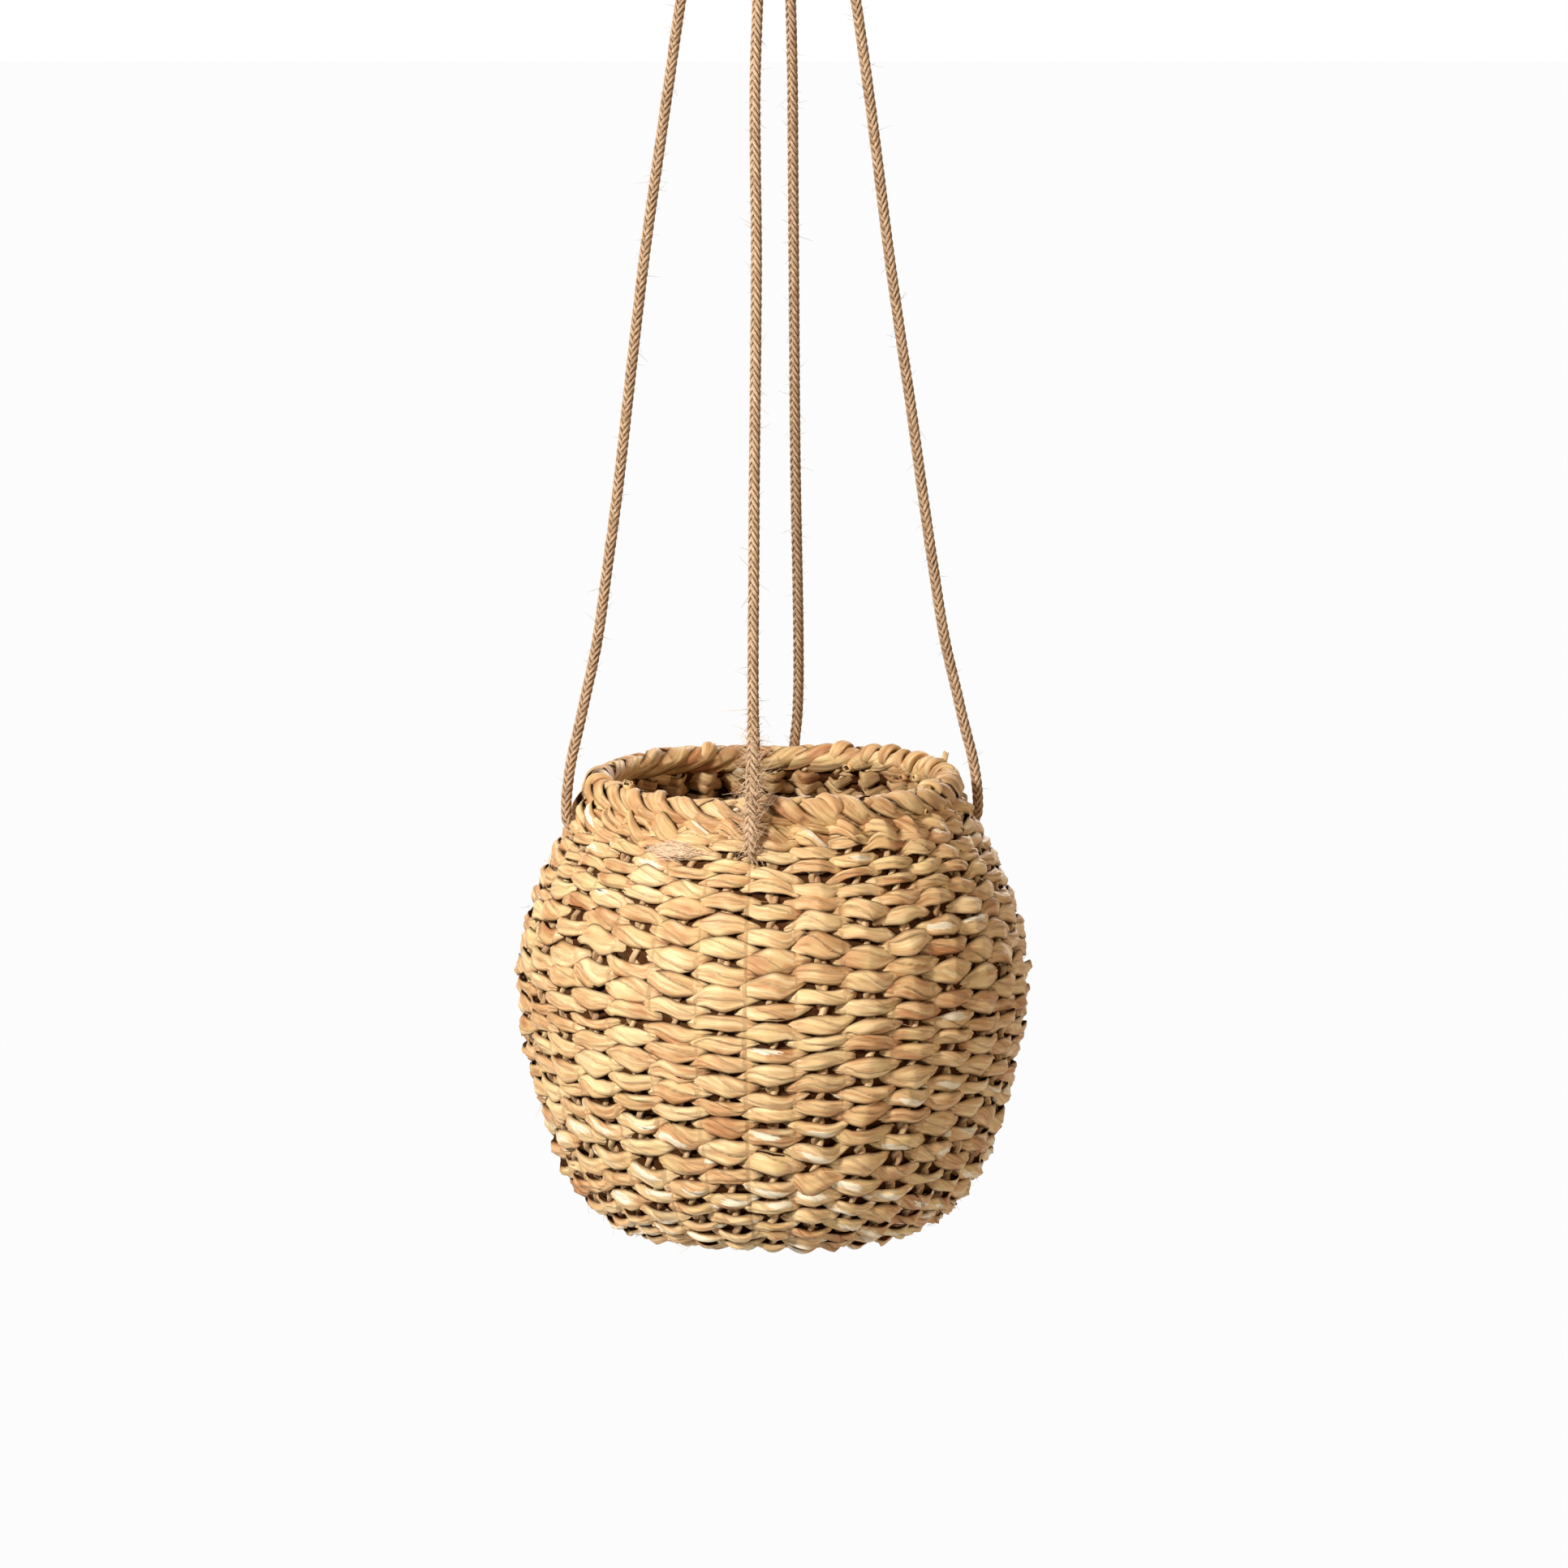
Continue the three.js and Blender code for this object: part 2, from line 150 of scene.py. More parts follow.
# Knuckles of the border: degrees round it, spread at the start and end, slant, rise and width
KNUCKLES = (
    (97, 0.0040, -0.0085, 0.05, 0.0016, 0.0030), (106, 0.0030, -0.0080, -0.03, 0.0026, 0.0031),
    (114, 0.0045, -0.0075, 0.03, 0.0018, 0.0026), (121, 0.0035, -0.0085, 0.06, 0.0030, 0.0031),
    (129, 0.0025, -0.0080, -0.02, 0.0024, 0.0027), (136, 0.0040, -0.0080, 0.04, 0.0028, 0.0030),
    (144, 0.0030, -0.0085, 0.08, 0.0014, 0.0033), (156, 0.0035, -0.0080, 0.10, 0.0010, 0.0034),
    (203, 0.0030, -0.0075, 0.12, 0.0010, 0.0034), (62, 0.0060, -0.0060, -0.05, 0.0010, 0.0030),
    (285, 0.0060, -0.0060, 0.06, 0.0008, 0.0031), (322, 0.0070, -0.0050, -0.10, 0.0008, 0.0032),
    (18, 0.0080, -0.0050, -0.11, 0.0008, 0.0034))
KNUCKLE_LIFT = 0.0012  # over the saddle
KNUCKLE_TUCK = 0.0022  # of its ends, into the plait
KNUCKLE_OVAL = 0.62
# Cut ends: degrees round the border, spread, height, share of up and out, length and width
CUT_ENDS = (
    (106, 0.0010, 0.0010, 1.0, 0.35, 0.0070, 0.0015), (303, -0.0035, 0.0000, 0.75, 0.2, 0.0052, 0.0026),
    (307, 0.0005, 0.0000, 0.8, 0.5, 0.0048, 0.0022), (52, 0.0115, -0.0004, 0.1, 1.0, 0.0040, 0.0022),
    (64, 0.0125, -0.0004, 0.2, 1.0, 0.0038, 0.0019), (118, -0.0110, 0.0004, 0.4, -1.0, 0.0045, 0.0026),
    (127, -0.0125, 0.0004, 0.2, -1.0, 0.0042, 0.0024),
    (152, -0.0120, 0.0004, 0.1, -1.0, 0.0040, 0.0025))
CUT_OVAL = 0.72
# The profile of a cut end: places along it, how wide it is and how much painted shade it has, most of it
# down inside the hollow
CUT_PROFILE = np.array([
    (0, 1.0, 0.3), (0.6, 1.05, 0), (1.0, 1.0, 0), (1.0, 0.8, 0.3), (0.93, 0.62, 0.9), (0.5, 0.5, 1.0)])

# The cords
CORD_TOP = -0.0677  # where the cords start, inside the whipping
CORD_GATHER = 0.6  # how far out they start, of the first point of their routes
SWING_LEVEL = -0.0695  # where the basket swings, and the whipping ends
KNOT_LEVEL = -0.047
NECK_LEVEL = -0.0567  # from here down the cords are wound
BRAID_YARNS = 6  # in each direction
BRAID_PITCH = 0.0225
BRAID_STEP = 0.0011
BRAID_MIDDLE = 0.00175
BRAID_LIFT = 0.0004
YARN_WIDTH = 0.0018
YARN_THICKNESS = 0.0013
WORN_PLACE = -0.641  # the height below which the front cord is loose and fuzzy
WORN_BLEND = 0.007
FUZZ_BLEND = 0.006
WORN_SWELL = 0.32
WORN_PALE = 0.55
# Loose fibres of a cord: how many, the longest, their radius and how far out they start
CORD_FUZZ = (340, 0.0045, 0.00013, 0.0019)
WORN_FUZZ = (620, 0.0078, 0.00020, 0.0028)

# The knots and the whipping
STOPPER_RADIUS = 0.0052
STOPPER_DEPTH = 0.0022
STOPPER_SCALE = 0.88
TAIL_SCALE = 0.8
TAIL_DROPS = (0, 0.006, 0.011, 0.0145)
TAIL_FIBRES = 110
GATHER_SCALE = 0.92
GATHER_RADIUS = 0.0044
GATHER_TUBE = 0.0028
GATHER_CORE = (0.0064, 0.0060)  # half the width and height of what is inside the knot
TWINE_RADIUS = 0.00105
TWINE_PITCH = 0.002
TWINE_PLY = 0.0005  # from the twine's middle to the middles of its two plies
TWINE_HALF = (0.00072, 0.00062)  # half a ply's width and thickness
TWINE_LAY = 2.6  # turns of its plies in each turn
TWINE_UNEVEN = ((0.00012, 1.37), (0.00008, 0.31))
TWINE_STATIONS = 26  # in each turn
TWINE_FIBRES = 90
NECK_SCALE = 1.6

# The frayed end in the wall
FRAYED_FIBRES = 430
FRAYED_LENGTH = 0.0135  # half of it
FRAYED_HEIGHT = 0.0030
FRAYED_HALVES = (0.0035, 0.0085)  # half the lengths of its fibres
FRAYED_SPREAD = 0.0045
FRAYED_LANES = 0.55
FRAYED_BOW = 0.0009
FRAYED_INSET = 0.0016
FRAYED_DEPTH = 0.0024
FRAYED_FLARE = 0.0006
FRAYED_RADII = (0.00010, 0.00018)

# Routes of the cords, from the gather down to the stopper knot, and of the hanging loop
ROUTES = {
    "left": [
        (-0.0039, 0, -0.0771), (-0.0165, -0.0015, -0.150), (-0.0297, -0.0029, -0.222),
        (-0.0437, -0.0042, -0.297), (-0.0493, -0.0048, -0.335), (-0.055, -0.0054, -0.374),
        (-0.0606, -0.0059, -0.413), (-0.0654, -0.0064, -0.452), (-0.0699, -0.0068, -0.491),
        (-0.0744, -0.0073, -0.530), (-0.0797, -0.0078, -0.569), (-0.0856, -0.0084, -0.609),
        (-0.0902, -0.0088, -0.630), (-0.0942, -0.0092, -0.648), (-0.0974, -0.0096, -0.662),
        (-0.0992, -0.0097, -0.675), (-0.0999, -0.0098, -0.684), (-0.0995, -0.0098, -0.6905),
        (-0.0976, -0.0096, -0.6946), (-0.0914, -0.009, -0.7007)],
    "right": [
        (0.0039, 0, -0.0771), (0.0155, 0.0015, -0.150), (0.0274, 0.0027, -0.222),
        (0.0398, 0.0039, -0.297), (0.0453, 0.0044, -0.335), (0.0504, 0.0049, -0.374),
        (0.0553, 0.0054, -0.413), (0.0608, 0.006, -0.452), (0.0666, 0.0065, -0.491),
        (0.072, 0.007, -0.530), (0.0777, 0.0076, -0.569), (0.0843, 0.0083, -0.609),
        (0.089, 0.0087, -0.629), (0.0934, 0.0092, -0.648), (0.097, 0.0095, -0.662),
        (0.0992, 0.0097, -0.675), (0.0999, 0.0098, -0.684), (0.0995, 0.0098, -0.6905),
        (0.0976, 0.0096, -0.6946), (0.0914, 0.009, -0.7007)],
    "front": [
        (0, -0.0039, -0.0771), (-0.0022, -0.016, -0.150), (-0.0046, -0.0288, -0.222),
        (-0.0069, -0.0418, -0.297), (-0.0081, -0.0475, -0.334), (-0.008, -0.0532, -0.372),
        (-0.0075, -0.0588, -0.410), (-0.0077, -0.0646, -0.448), (-0.0081, -0.0703, -0.485),
        (-0.0085, -0.0758, -0.523), (-0.0087, -0.0814, -0.561), (-0.009, -0.0868, -0.599),
        (-0.009, -0.0908, -0.624), (-0.0089, -0.0946, -0.645), (-0.0092, -0.0976, -0.661),
        (-0.0096, -0.0993, -0.675), (-0.0098, -0.0999, -0.684), (-0.0098, -0.0995, -0.6905),
        (-0.0096, -0.0976, -0.6946), (-0.009, -0.0914, -0.7007)],
    "back": [
        (0, 0.0039, -0.0771), (0.0028, 0.0162, -0.150), (0.0058, 0.029, -0.222),
        (0.0087, 0.042, -0.297), (0.0096, 0.0479, -0.337), (0.0099, 0.0539, -0.376),
        (0.0102, 0.0599, -0.416), (0.0105, 0.0659, -0.456), (0.0108, 0.072, -0.496),
        (0.0113, 0.078, -0.537), (0.0121, 0.084, -0.578), (0.0127, 0.0895, -0.619),
        (0.0126, 0.0932, -0.641), (0.012, 0.0963, -0.655), (0.011, 0.0983, -0.665),
        (0.0102, 0.0994, -0.675), (0.0098, 0.0999, -0.684), (0.0098, 0.0995, -0.6905),
        (0.0096, 0.0976, -0.6946), (0.009, 0.0914, -0.7007)],
}
LOOP_SIDE = [
    (0.0026, 0, -0.0440), (0.0035, 0, -0.0384), (0.0064, 0, -0.031), (0.0099, 0, -0.0225),
    (0.0118, 0, -0.0135), (0.0111, 0, -0.0055), (0.0072, 0, 0.0006)]
LOOP_ROUTE = [(-x, y, z) for x, y, z in LOOP_SIDE] + [(0, 0, 0.0025)] + LOOP_SIDE[::-1]

# The camera, as the photograph was taken, and the studio
CAMERA_PLACE = (0.0055, -3.1207, -0.2422)
CAMERA_PITCH = math.radians(7.889)
FOCAL_PIXELS = 8000
PICTURE_PIXELS = 1932
SENSOR = 36.0
SOFT_LIGHT = 0.10
LAMP_TARGET = (0, 0, -0.72)
LAMPS = (  # name, place, size, power and colour
    ("key", (-1.95, -2.25, 0.72), 0.5, 143, (1, 1, 1)),
    ("fill", (2.4, -1.8, 0.0), 0.7, 23, (1, 0.76, 0.50)),
    ("top", (-0.4, 0.6, 1.4), 1.4, 9, (1, 1, 1)),
    ("back", (1.0, 2.6, 0.5), 1.2, 46, (1, 1, 1)))
FLOOR_LEVEL = -2.75
FLOOR_HALF = 90.0
FLOOR_GLOW = 0.97


def random_for(name):
    """A generator of random numbers that is the same each run."""
    return np.random.default_rng(zlib.crc32(name.encode()))


def together(*parts):
    """Arrays or numbers, spread to one shape, as the coordinates of points."""
    return np.stack(np.broadcast_arrays(*parts), -1)


def round_axis(radius, turn, height):
    """Places round the upright axis, with the turn counted from +X towards +Y."""
    return together(radius * np.cos(turn), radius * np.sin(turn), height)


def unit(vectors):
    return vectors / np.maximum(np.linalg.norm(vectors, axis=-1, keepdims=True), 1e-12)


def put_in_scene(name, data):
    """A new object in the scene."""
    made = bpy.data.objects.new(name, data)
    bpy.context.scene.collection.objects.link(made)
    return made


def lengths_along(line):
    """How far each point of a line is from its start."""
    return np.concatenate([[0], np.cumsum(np.linalg.norm(np.diff(line, axis=0), axis=1))])


# Meshes from swept sections

class Piece:
    """Collects the points and faces of tubes, and builds them as one mesh."""

    def __init__(self, name, random=None):
        self.name = name
        self.random = random or random_for(name)
        self.points, self.quads, self.triangles = [], [], []
        # Each point keeps its grain, its tone, its pith and how much painted shade it gets.
        self.values = {"grain": [], "tone": [], "pith": [], "painted_shade": []}
        self.count = 0

    def tube(self, rings, grain, tone=0.0, pith=0.0, painted_shade=0.0, closed=False):
        """A tube through rings, an array of stations by points by 3, with capped or joined ends."""
        stations, around = rings.shape[:2]
        station = np.arange(stations if closed else stations - 1)[:, None]
        point = np.arange(around)[None, :]
        after, beside = (station + 1) % stations, (point + 1) % around
        quads = together(station * around + point, station * around + beside,
                         after * around + beside, after * around + point).reshape(-1, 4)
        flat = rings.reshape(-1, 3)
        middle = flat.mean(0)
        a, b, c, d = (flat[quads[:, corner]] - middle for corner in range(4))
        volume = (np.cross(b, c) * a).sum() + (np.cross(c, d) * a).sum()
        if volume < 0:
            quads = quads[:, ::-1]
        self.quads.append(quads + self.count)
        if not closed:
            for end in (0, stations - 1):
                fan = end * around + together(0, np.arange(1, around - 1), np.arange(2, around))
                turned = (end == 0) == (volume >= 0)
                self.triangles.append((fan[:, ::-1] if turned else fan) + self.count)
        self.points.append(flat)
        for name, value in (("grain", grain), ("tone", tone), ("pith", pith), ("painted_shade", painted_shade)):
            shape = rings.shape if name == "grain" else rings.shape[:2]
            self.values[name].append(np.broadcast_to(value, shape).ravel())
        self.count += len(flat)

    def build(self, material, body, slot, *nodes):
        """The mesh object, riding on its body and standing for the CAD nodes."""
        points = np.concatenate(self.points)
        quads = np.concatenate(self.quads)
        triangles = np.concatenate(self.triangles or [np.zeros((0, 3), int)])
        mesh = bpy.data.meshes.new(self.name)
        mesh.vertices.add(len(points))
        mesh.vertices.foreach_set("co", points.astype(np.float32).ravel())
        corners = np.concatenate([quads.ravel(), triangles.ravel()])
        mesh.loops.add(len(corners))
        mesh.loops.foreach_set("vertex_index", corners.astype(np.int32))
        starts = np.concatenate([np.arange(len(quads)) * 4,
                                 4 * len(quads) + np.arange(len(triangles)) * 3])
        mesh.polygons.add(len(starts))
        mesh.polygons.foreach_set("loop_start", starts.astype(np.int32))
        mesh.polygons.foreach_set("use_smooth", np.ones(len(starts), bool))
        mesh.update(calc_edges=True)
        mesh.validate()
        for name, parts in self.values.items():
            kind, field = ("FLOAT_VECTOR", "vector") if name == "grain" else ("FLOAT", "value")
            attribute = mesh.attributes.new(name, kind, "POINT")
            attribute.data.foreach_set(field, np.concatenate(parts).astype(np.float32))
        mesh.materials.append(material)
        made = put_in_scene(self.name, mesh)
        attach(made, body)
        if nodes:
            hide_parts(*nodes)
        return made


def smooth_line(points, step):
    """A smooth line through points, with places about step apart."""
    points = np.array(points, float)
    along = lengths_along(points)
    slope = np.gradient(points, along, axis=0)
    at = np.linspace(0, along[-1], max(2, math.ceil(along[-1] / step) + 1))
    before = np.clip(np.searchsorted(along, at, side="right") - 1, 0, len(points) - 2)
    gap = (along[before + 1] - along[before])[:, None]
    t = (at - along[before])[:, None] / gap
    return ((2 * t ** 3 - 3 * t ** 2 + 1) * points[before] + (t ** 3 - 2 * t ** 2 + t) * gap * slope[before]
            + (3 * t ** 2 - 2 * t ** 3) * points[before + 1] + (t ** 3 - t ** 2) * gap * slope[before + 1])


def carried_frames(line, first=FRONT):
    """The direction of a line at its points, and two directions square to it that don't twist."""
    way = unit(np.gradient(line, axis=0))
    side = np.zeros_like(way)
    aim = np.array(first, float)
    for place, direction in enumerate(way):
        aim = aim - direction * (aim @ direction)
        aim = aim / np.linalg.norm(aim)
        side[place] = aim
    return way, side, np.cross(way, side)


def ring_of(centres, side, over, widths, heights, points):
    """Oval sections round the centres, with half widths along side and half heights along over."""
    angle = np.linspace(0, FULL_TURN, points, endpoint=False)[None, :]
    across = (np.reshape(widths, (-1, 1)) * np.cos(angle))[..., None]
    above = (np.reshape(heights, (-1, 1)) * np.sin(angle))[..., None]
    side, over = np.atleast_2d(side), np.atleast_2d(over)
    return centres[:, None] + across * side[:, None] + above * over[:, None], angle


# The outline of the wall, read from the rings of the frame

RINGS = (["border_lower_twist"] + [f"weft_row_{row:02d}" for row in range(ROWS, 0, -1)]
         + ["base_round_3", "base_round_2", "base_round_1"])


def corners_of(node):
    return np.array([vertex.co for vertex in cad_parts[node].data.vertices])


def middle_of(node):
    low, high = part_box(node)
    return (np.array(low) + np.array(high)) / 2


def section_of(node):
    """The corners of a ring's section, in radius and height, an eighth of a turn from the front."""
    corners = corners_of(node)
    turn = np.degrees(np.arctan2(corners[:, 0], -corners[:, 1]))
    here = corners[np.abs(turn - 45) < 0.5]
    return np.unique(np.round(together(np.hypot(here[:, 0], here[:, 1]), here[:, 2]), 5), axis=0)


def wall_outline():
    """Middles of the rings' outer faces, and how far each ring reaches along the wall."""
    sections = [section_of(node) for node in RINGS]
    centres = np.array([section.mean(0) for section in sections])
    way = unit(np.gradient(centres, axis=0))
    out = together(-way[:, 1], way[:, 0])
    middles, widths = [], []
    for section, centre, direction, outward in zip(sections, centres, way, out):
        order = np.argsort((section - centre) @ outward)
        middles.append(section[order[-2:]].mean(0))
        widths.append(np.ptp((section - centre) @ direction))
    return np.array(middles), np.array(widths)


ring_middles, ring_widths = wall_outline()
top_way = unit(ring_middles[0] - ring_middles[1])
outline = smooth_line(np.vstack([ring_middles[0] + top_way * WALL_ABOVE, ring_middles,
                                 ring_middles[-1] - [BASE_WITHIN, 0]]), OUTLINE_STEP)
outline_along = lengths_along(outline)
outline_way = unit(np.gradient(outline, axis=0))
ring_places = {node: outline_along[np.linalg.norm(outline - middle, axis=1).argmin()]
               for node, middle in zip(RINGS, ring_middles)}
ring_pitch = dict(zip(RINGS, ring_widths))


def wall(distance, inset):
    """Radius and height on the wall, and the directions down along it and out of it."""
    def read(values):
        return together(*(np.interp(distance, outline_along, column) for column in values.T))

    way = unit(read(outline_way))
    out = together(-way[..., 1], way[..., 0])
    return read(outline) - out * np.asarray(inset)[..., None], way, out


def placed(flat, turn):
    """Points or directions in radius and height, turned round the basket's axis."""
    return together(flat[..., 0] * np.sin(turn), -flat[..., 0] * np.cos(turn), flat[..., 1])


# Strands of grass

def across_strand():
    """Places across a strand's outer face and back across its inner one, and which are outside."""
    face = np.sin(np.linspace(-np.pi / 2, np.pi / 2, FACE_POINTS) * FACE_WRAP)
    face = face / np.sin(np.pi / 2 * FACE_WRAP)
    back = np.sin(np.linspace(np.pi / 2, -np.pi / 2, BACK_POINTS) * BACK_WRAP)
    outer = np.arange(FACE_POINTS + BACK_POINTS) < FACE_POINTS
    return np.concatenate([face, back])[None, :], outer[None, :]


ACROSS, OUTER = across_strand()


def per_stitch(looks, stitch, share):
    """The looks of the stitches at a share of the way from each one's middle to the next's."""
    blend = np.clip((np.abs(share) - 0.3) / 0.4, 0, 0.5)
    there = stitch + np.sign(share).astype(int)
    values = {name: numbers[stitch] * (1 - blend) + numbers[there % len(numbers)] * blend
              for name, numbers in looks.items()}
    values["side"] = looks["side"][stitch]
    return values


def strand_section(upper, lower, behind, thickness, looks, share):
    """A flattened strand with a ridge, creases and a blade laid over another.

    Gives its coordinates up and out, where the upper blade is, the painted shade along the seam between the
    blades, and the tone."""
    ridge, crease, split, lay, side, step, facet, tone, second = (looks[name][:, None] for name in (
        "ridge", "crease", "split", "lay", "side", "step", "facet", "tone", "second"))
    top = np.clip(ridge, -0.7, 0.7)
    tent = np.clip(np.where(ACROSS < top, (ACROSS + 1) / (1 + top), (1 - ACROSS) / (1 - top)), 0, 1)
    plain = np.clip(1 - np.abs(ACROSS) ** EDGE_ROUND, 0, 1)
    folds = sum(height * np.cos(closeness * ACROSS + shift * crease * 6)
                for height, closeness, shift in FOLDS)
    border = ACROSS - (split - lay * share[:, None])
    over = np.clip(border / BLADE_EDGE, 0, 1)
    over = np.where(side > 0, over, 1 - over)
    seam = np.abs(step) * np.exp(-(border / SEAM_WIDTH) ** 2)
    # Painted shade: a dark line in the groove where one blade lies over the other.
    seam_painted_shade = np.abs(step) / 0.8 * np.exp(-(border / SEAM_SHADE_WIDTH) ** 2) * OUTER
    front = (facet * tent ** 0.95 + (1 - facet) * plain + plain * folds
             + step * (over - 0.5) * plain - 0.5 * seam)
    out = np.reshape(thickness, (-1, 1)) * np.where(OUTER, front, -plain - 0.1)
    half = np.where(ACROSS > 0, upper[:, None], lower[:, None])
    up = ACROSS * np.where(OUTER, half, behind[:, None])
    return up, out, over, seam_painted_shade, tone + (1 - over) * second


def stitch_randoms(random, count, wear, crisp=1.0):
    """Random looks of a strand's stitches, some of them carried over a few stitches."""
    def normal(middle, spread):
        return random.normal(middle, spread, count)

    def uniform(low, high):
        return random.uniform(low, high, count)

    def chance(share):
        return random.random(count) < share

    slow = np.repeat(random.normal(0, 1, count // 3 + 1), 3)[:count]
    pith = chance(0.07 + 0.55 * wear) * uniform(0.9, 1.5)
    dark = chance(0.05 + 0.05 * wear) * uniform(0.4, 1.0)
    return {
        "size": np.clip(normal(1, 0.18), 0.62, 1.45),
        "shift": normal(0, 0.0011),
        "lift": normal(0.0001, 0.0005),
        "ridge": uniform(-0.5, 0.6),
        "facet": uniform(0.4, 1.0),
        "crisp": crisp * uniform(0.35, 1),
        "crease": uniform(0, 1),
        "split": uniform(-0.55, 0.55),
        "lay": normal(1.2, 0.7) * (1 + 0.8 * wear),
        "side": np.where(chance(0.7), 1.0, -1.0),
        "step": chance(0.75) * uniform(0.3, 0.8),
        "roll": normal(0.02, 0.16),
        "tilt": normal(0.25, 0.6),
        "tone": 0.35 * slow + normal(0, 0.35) - 1.2 * dark,
        "second": normal(-0.15, 0.5),
        "pith": pith,
        "pith_share": uniform(-0.3, 0.3),
        "pith_across": uniform(-0.7, 0.7),
        "bend": uniform(-0.11, 0.11),
        "peak_up": uniform(-0.26, 0.14),
        "peak_down": uniform(-0.14, 0.26),
    }


def peaked(share, peak):
    """One at the peak, falling straight to nothing half a stitch on either side."""
    return np.clip(np.where(share < peak, (share + 0.5) / (peak + 0.5), (0.5 - share) / (0.5 - peak)), 0, 1)


def leaf_height(beside):
    """Half the height of a stitch's face at a number of stakes from its middle, of a row's pitch."""
    return LEAF_SHARE - TAPER_SHARE * np.clip(beside, 0, 1) ** LEAF_ROUND


def sway(turn, distance):
    """How far the rows run up and down, the same for all that lie at one place."""
    return sum(height * np.sin(waves * turn + shift * distance + start)
               for height, waves, shift, start in SWAYS)


def painted_shade_of(shape):
    """Painted shade on a strand: at its edges, where it lies behind the others, and over all of its inner
    face.
    """
    shape = shape[:, None]
    depth = np.where(OUTER, (0.05 - shape) / 0.9, np.maximum((shape + 0.3) / 0.9, 0.4))
    return np.clip(np.maximum(np.abs(ACROSS) ** EDGE_ROUND, depth), 0, 1)


def painted_shade_band(piece, turn, down, inset, wide, thick, points, radius, grain_height=0.004):
    """A band of painted shade behind the strands, where the gaps between them show it."""
    flat, way, out = wall(down, inset)
    rings, angle = ring_of(placed(flat, turn), placed(way, turn), placed(out, turn), wide, thick, points)
    grain = together((turn * radius)[:, None], np.cos(angle) * grain_height, 4.0)
    piece.tube(rings, grain, -0.4, 0.0, 1.0, closed=True)


def woven_strand(piece, distance, pitch, first, count=STAKES, slant=0.0, thick=1.0, wear=0.0, slim=1.0,
                 crisp=1.0, inset=STAKE_INSET, reach=STRAND_REACH, dive=DIVE, bias=CROSSING_BIAS,
                 depth=1.0):
    """One strand round the basket that passes outside every second stake, starting with first."""
    looks = stitch_randoms(piece.random, count, wear, crisp)
    stitch = np.repeat(np.arange(count), len(STITCH_STATIONS))
    own = {name: numbers[stitch] for name, numbers in looks.items()}
    share = np.tile(STITCH_STATIONS, count)
    share = share + own["bend"] * (1 - 4 * share ** 2)
    values = per_stitch(looks, stitch, share)
    outside = (stitch + first) % 2 == 0
    bulge = np.cos(np.pi * share)
    crest = own["crisp"] * peaked(share, own["bend"]) + (1 - own["crisp"]) * bulge
    shape = np.where(outside, bias + (1 - bias) * crest, bias - (depth + bias) * bulge ** dive)
    turn = (stitch + share) * FULL_TURN / count
    down = distance + values["shift"] + sway(turn, distance)
    down = down + np.where(outside, slant, -slant) * np.sin(np.pi * share)
    down = down + values["tilt"] * share * bulge * pitch * TILT_SHARE
    flat, way, out = wall(down, inset - shape * (reach + values["lift"]))
    size = values["size"] * np.where(outside, slim, 1)
    swell = pitch * (1 + (size - 1) * bulge)
    beside = np.abs(share)
    upper, lower = (
        swell * leaf_height(np.where(outside, np.abs(share - own[peak] * (1 - 2 * beside)), 1 - beside))
        for peak in ("peak_up", "peak_down"))
    behind = swell * leaf_height(np.where(outside, 1 - beside, beside))
    thickness = thick * (CROSSING_THICKNESS + (STRAND_THICKNESS - CROSSING_THICKNESS) * bulge)
    up, proud, over, seam, tone = strand_section(upper, lower, behind, thickness, values, share)
    roll = (values["roll"] * bulge)[:, None]
    up_share = up * np.cos(roll) - proud * np.sin(roll)
    out_share = up * np.sin(roll) + proud * np.cos(roll)
    rings = flat[:, None] - way[:, None] * up_share[..., None] + out[:, None] * out_share[..., None]
    radius = np.interp(distance, outline_along, outline[:, 0])
    twist = np.cumsum(values["lay"] * np.gradient(stitch + share))[:, None]
    grain = together((turn * radius)[:, None], (ACROSS + GRAIN_TWIST * twist) * GRAIN_SHARE * pitch,
                     piece.random.uniform(0, 9) + own["crease"][:, None] + over * 3)
    torn = own["pith"][:, None] * np.exp(
        -((share - own["pith_share"])[:, None] / TORN_SIZE) ** 2
        - ((ACROSS - own["pith_across"][:, None] + 0.6 * share[:, None]) / TORN_SIZE) ** 2)
    # Painted shade: at the strand's edges, where it dives in behind the stakes, over its inner face and
    # along the seam between its blades.
    painted_shade = np.maximum(painted_shade_of(shape), 0.75 * seam)
    piece.tube(placed(rings, turn[:, None]), grain, tone, torn, painted_shade, closed=True)
    # A band of painted shade behind the strand, seen through the gaps.
    near_ends, near_middle = np.clip(4 * beside - 1, 0, 1), np.clip(1 - (beside / 0.5) ** 3, 0, 1)
    wide = pitch * np.where(outside, BAND_OUTSIDE[0] + BAND_OUTSIDE[1] * near_ends,
                            BAND_INSIDE[0] + BAND_INSIDE[1] * near_middle)
    inward = inset + 0.0003 * np.sin(9 * stitch) - 0.6 * reach * np.clip(shape, 0, 0.6)
    painted_shade_band(piece, turn, down, inward, wide, BAND_THICKNESS, 6, radius)


def woven_pair(piece, distance, pitch, apart, **form):
    """Two strands, set apart along the wall, that pass outside the stakes by turns."""
    for first in (0, 1):
        woven_strand(piece, distance + (first - 0.5) * apart, pitch, first, **form)


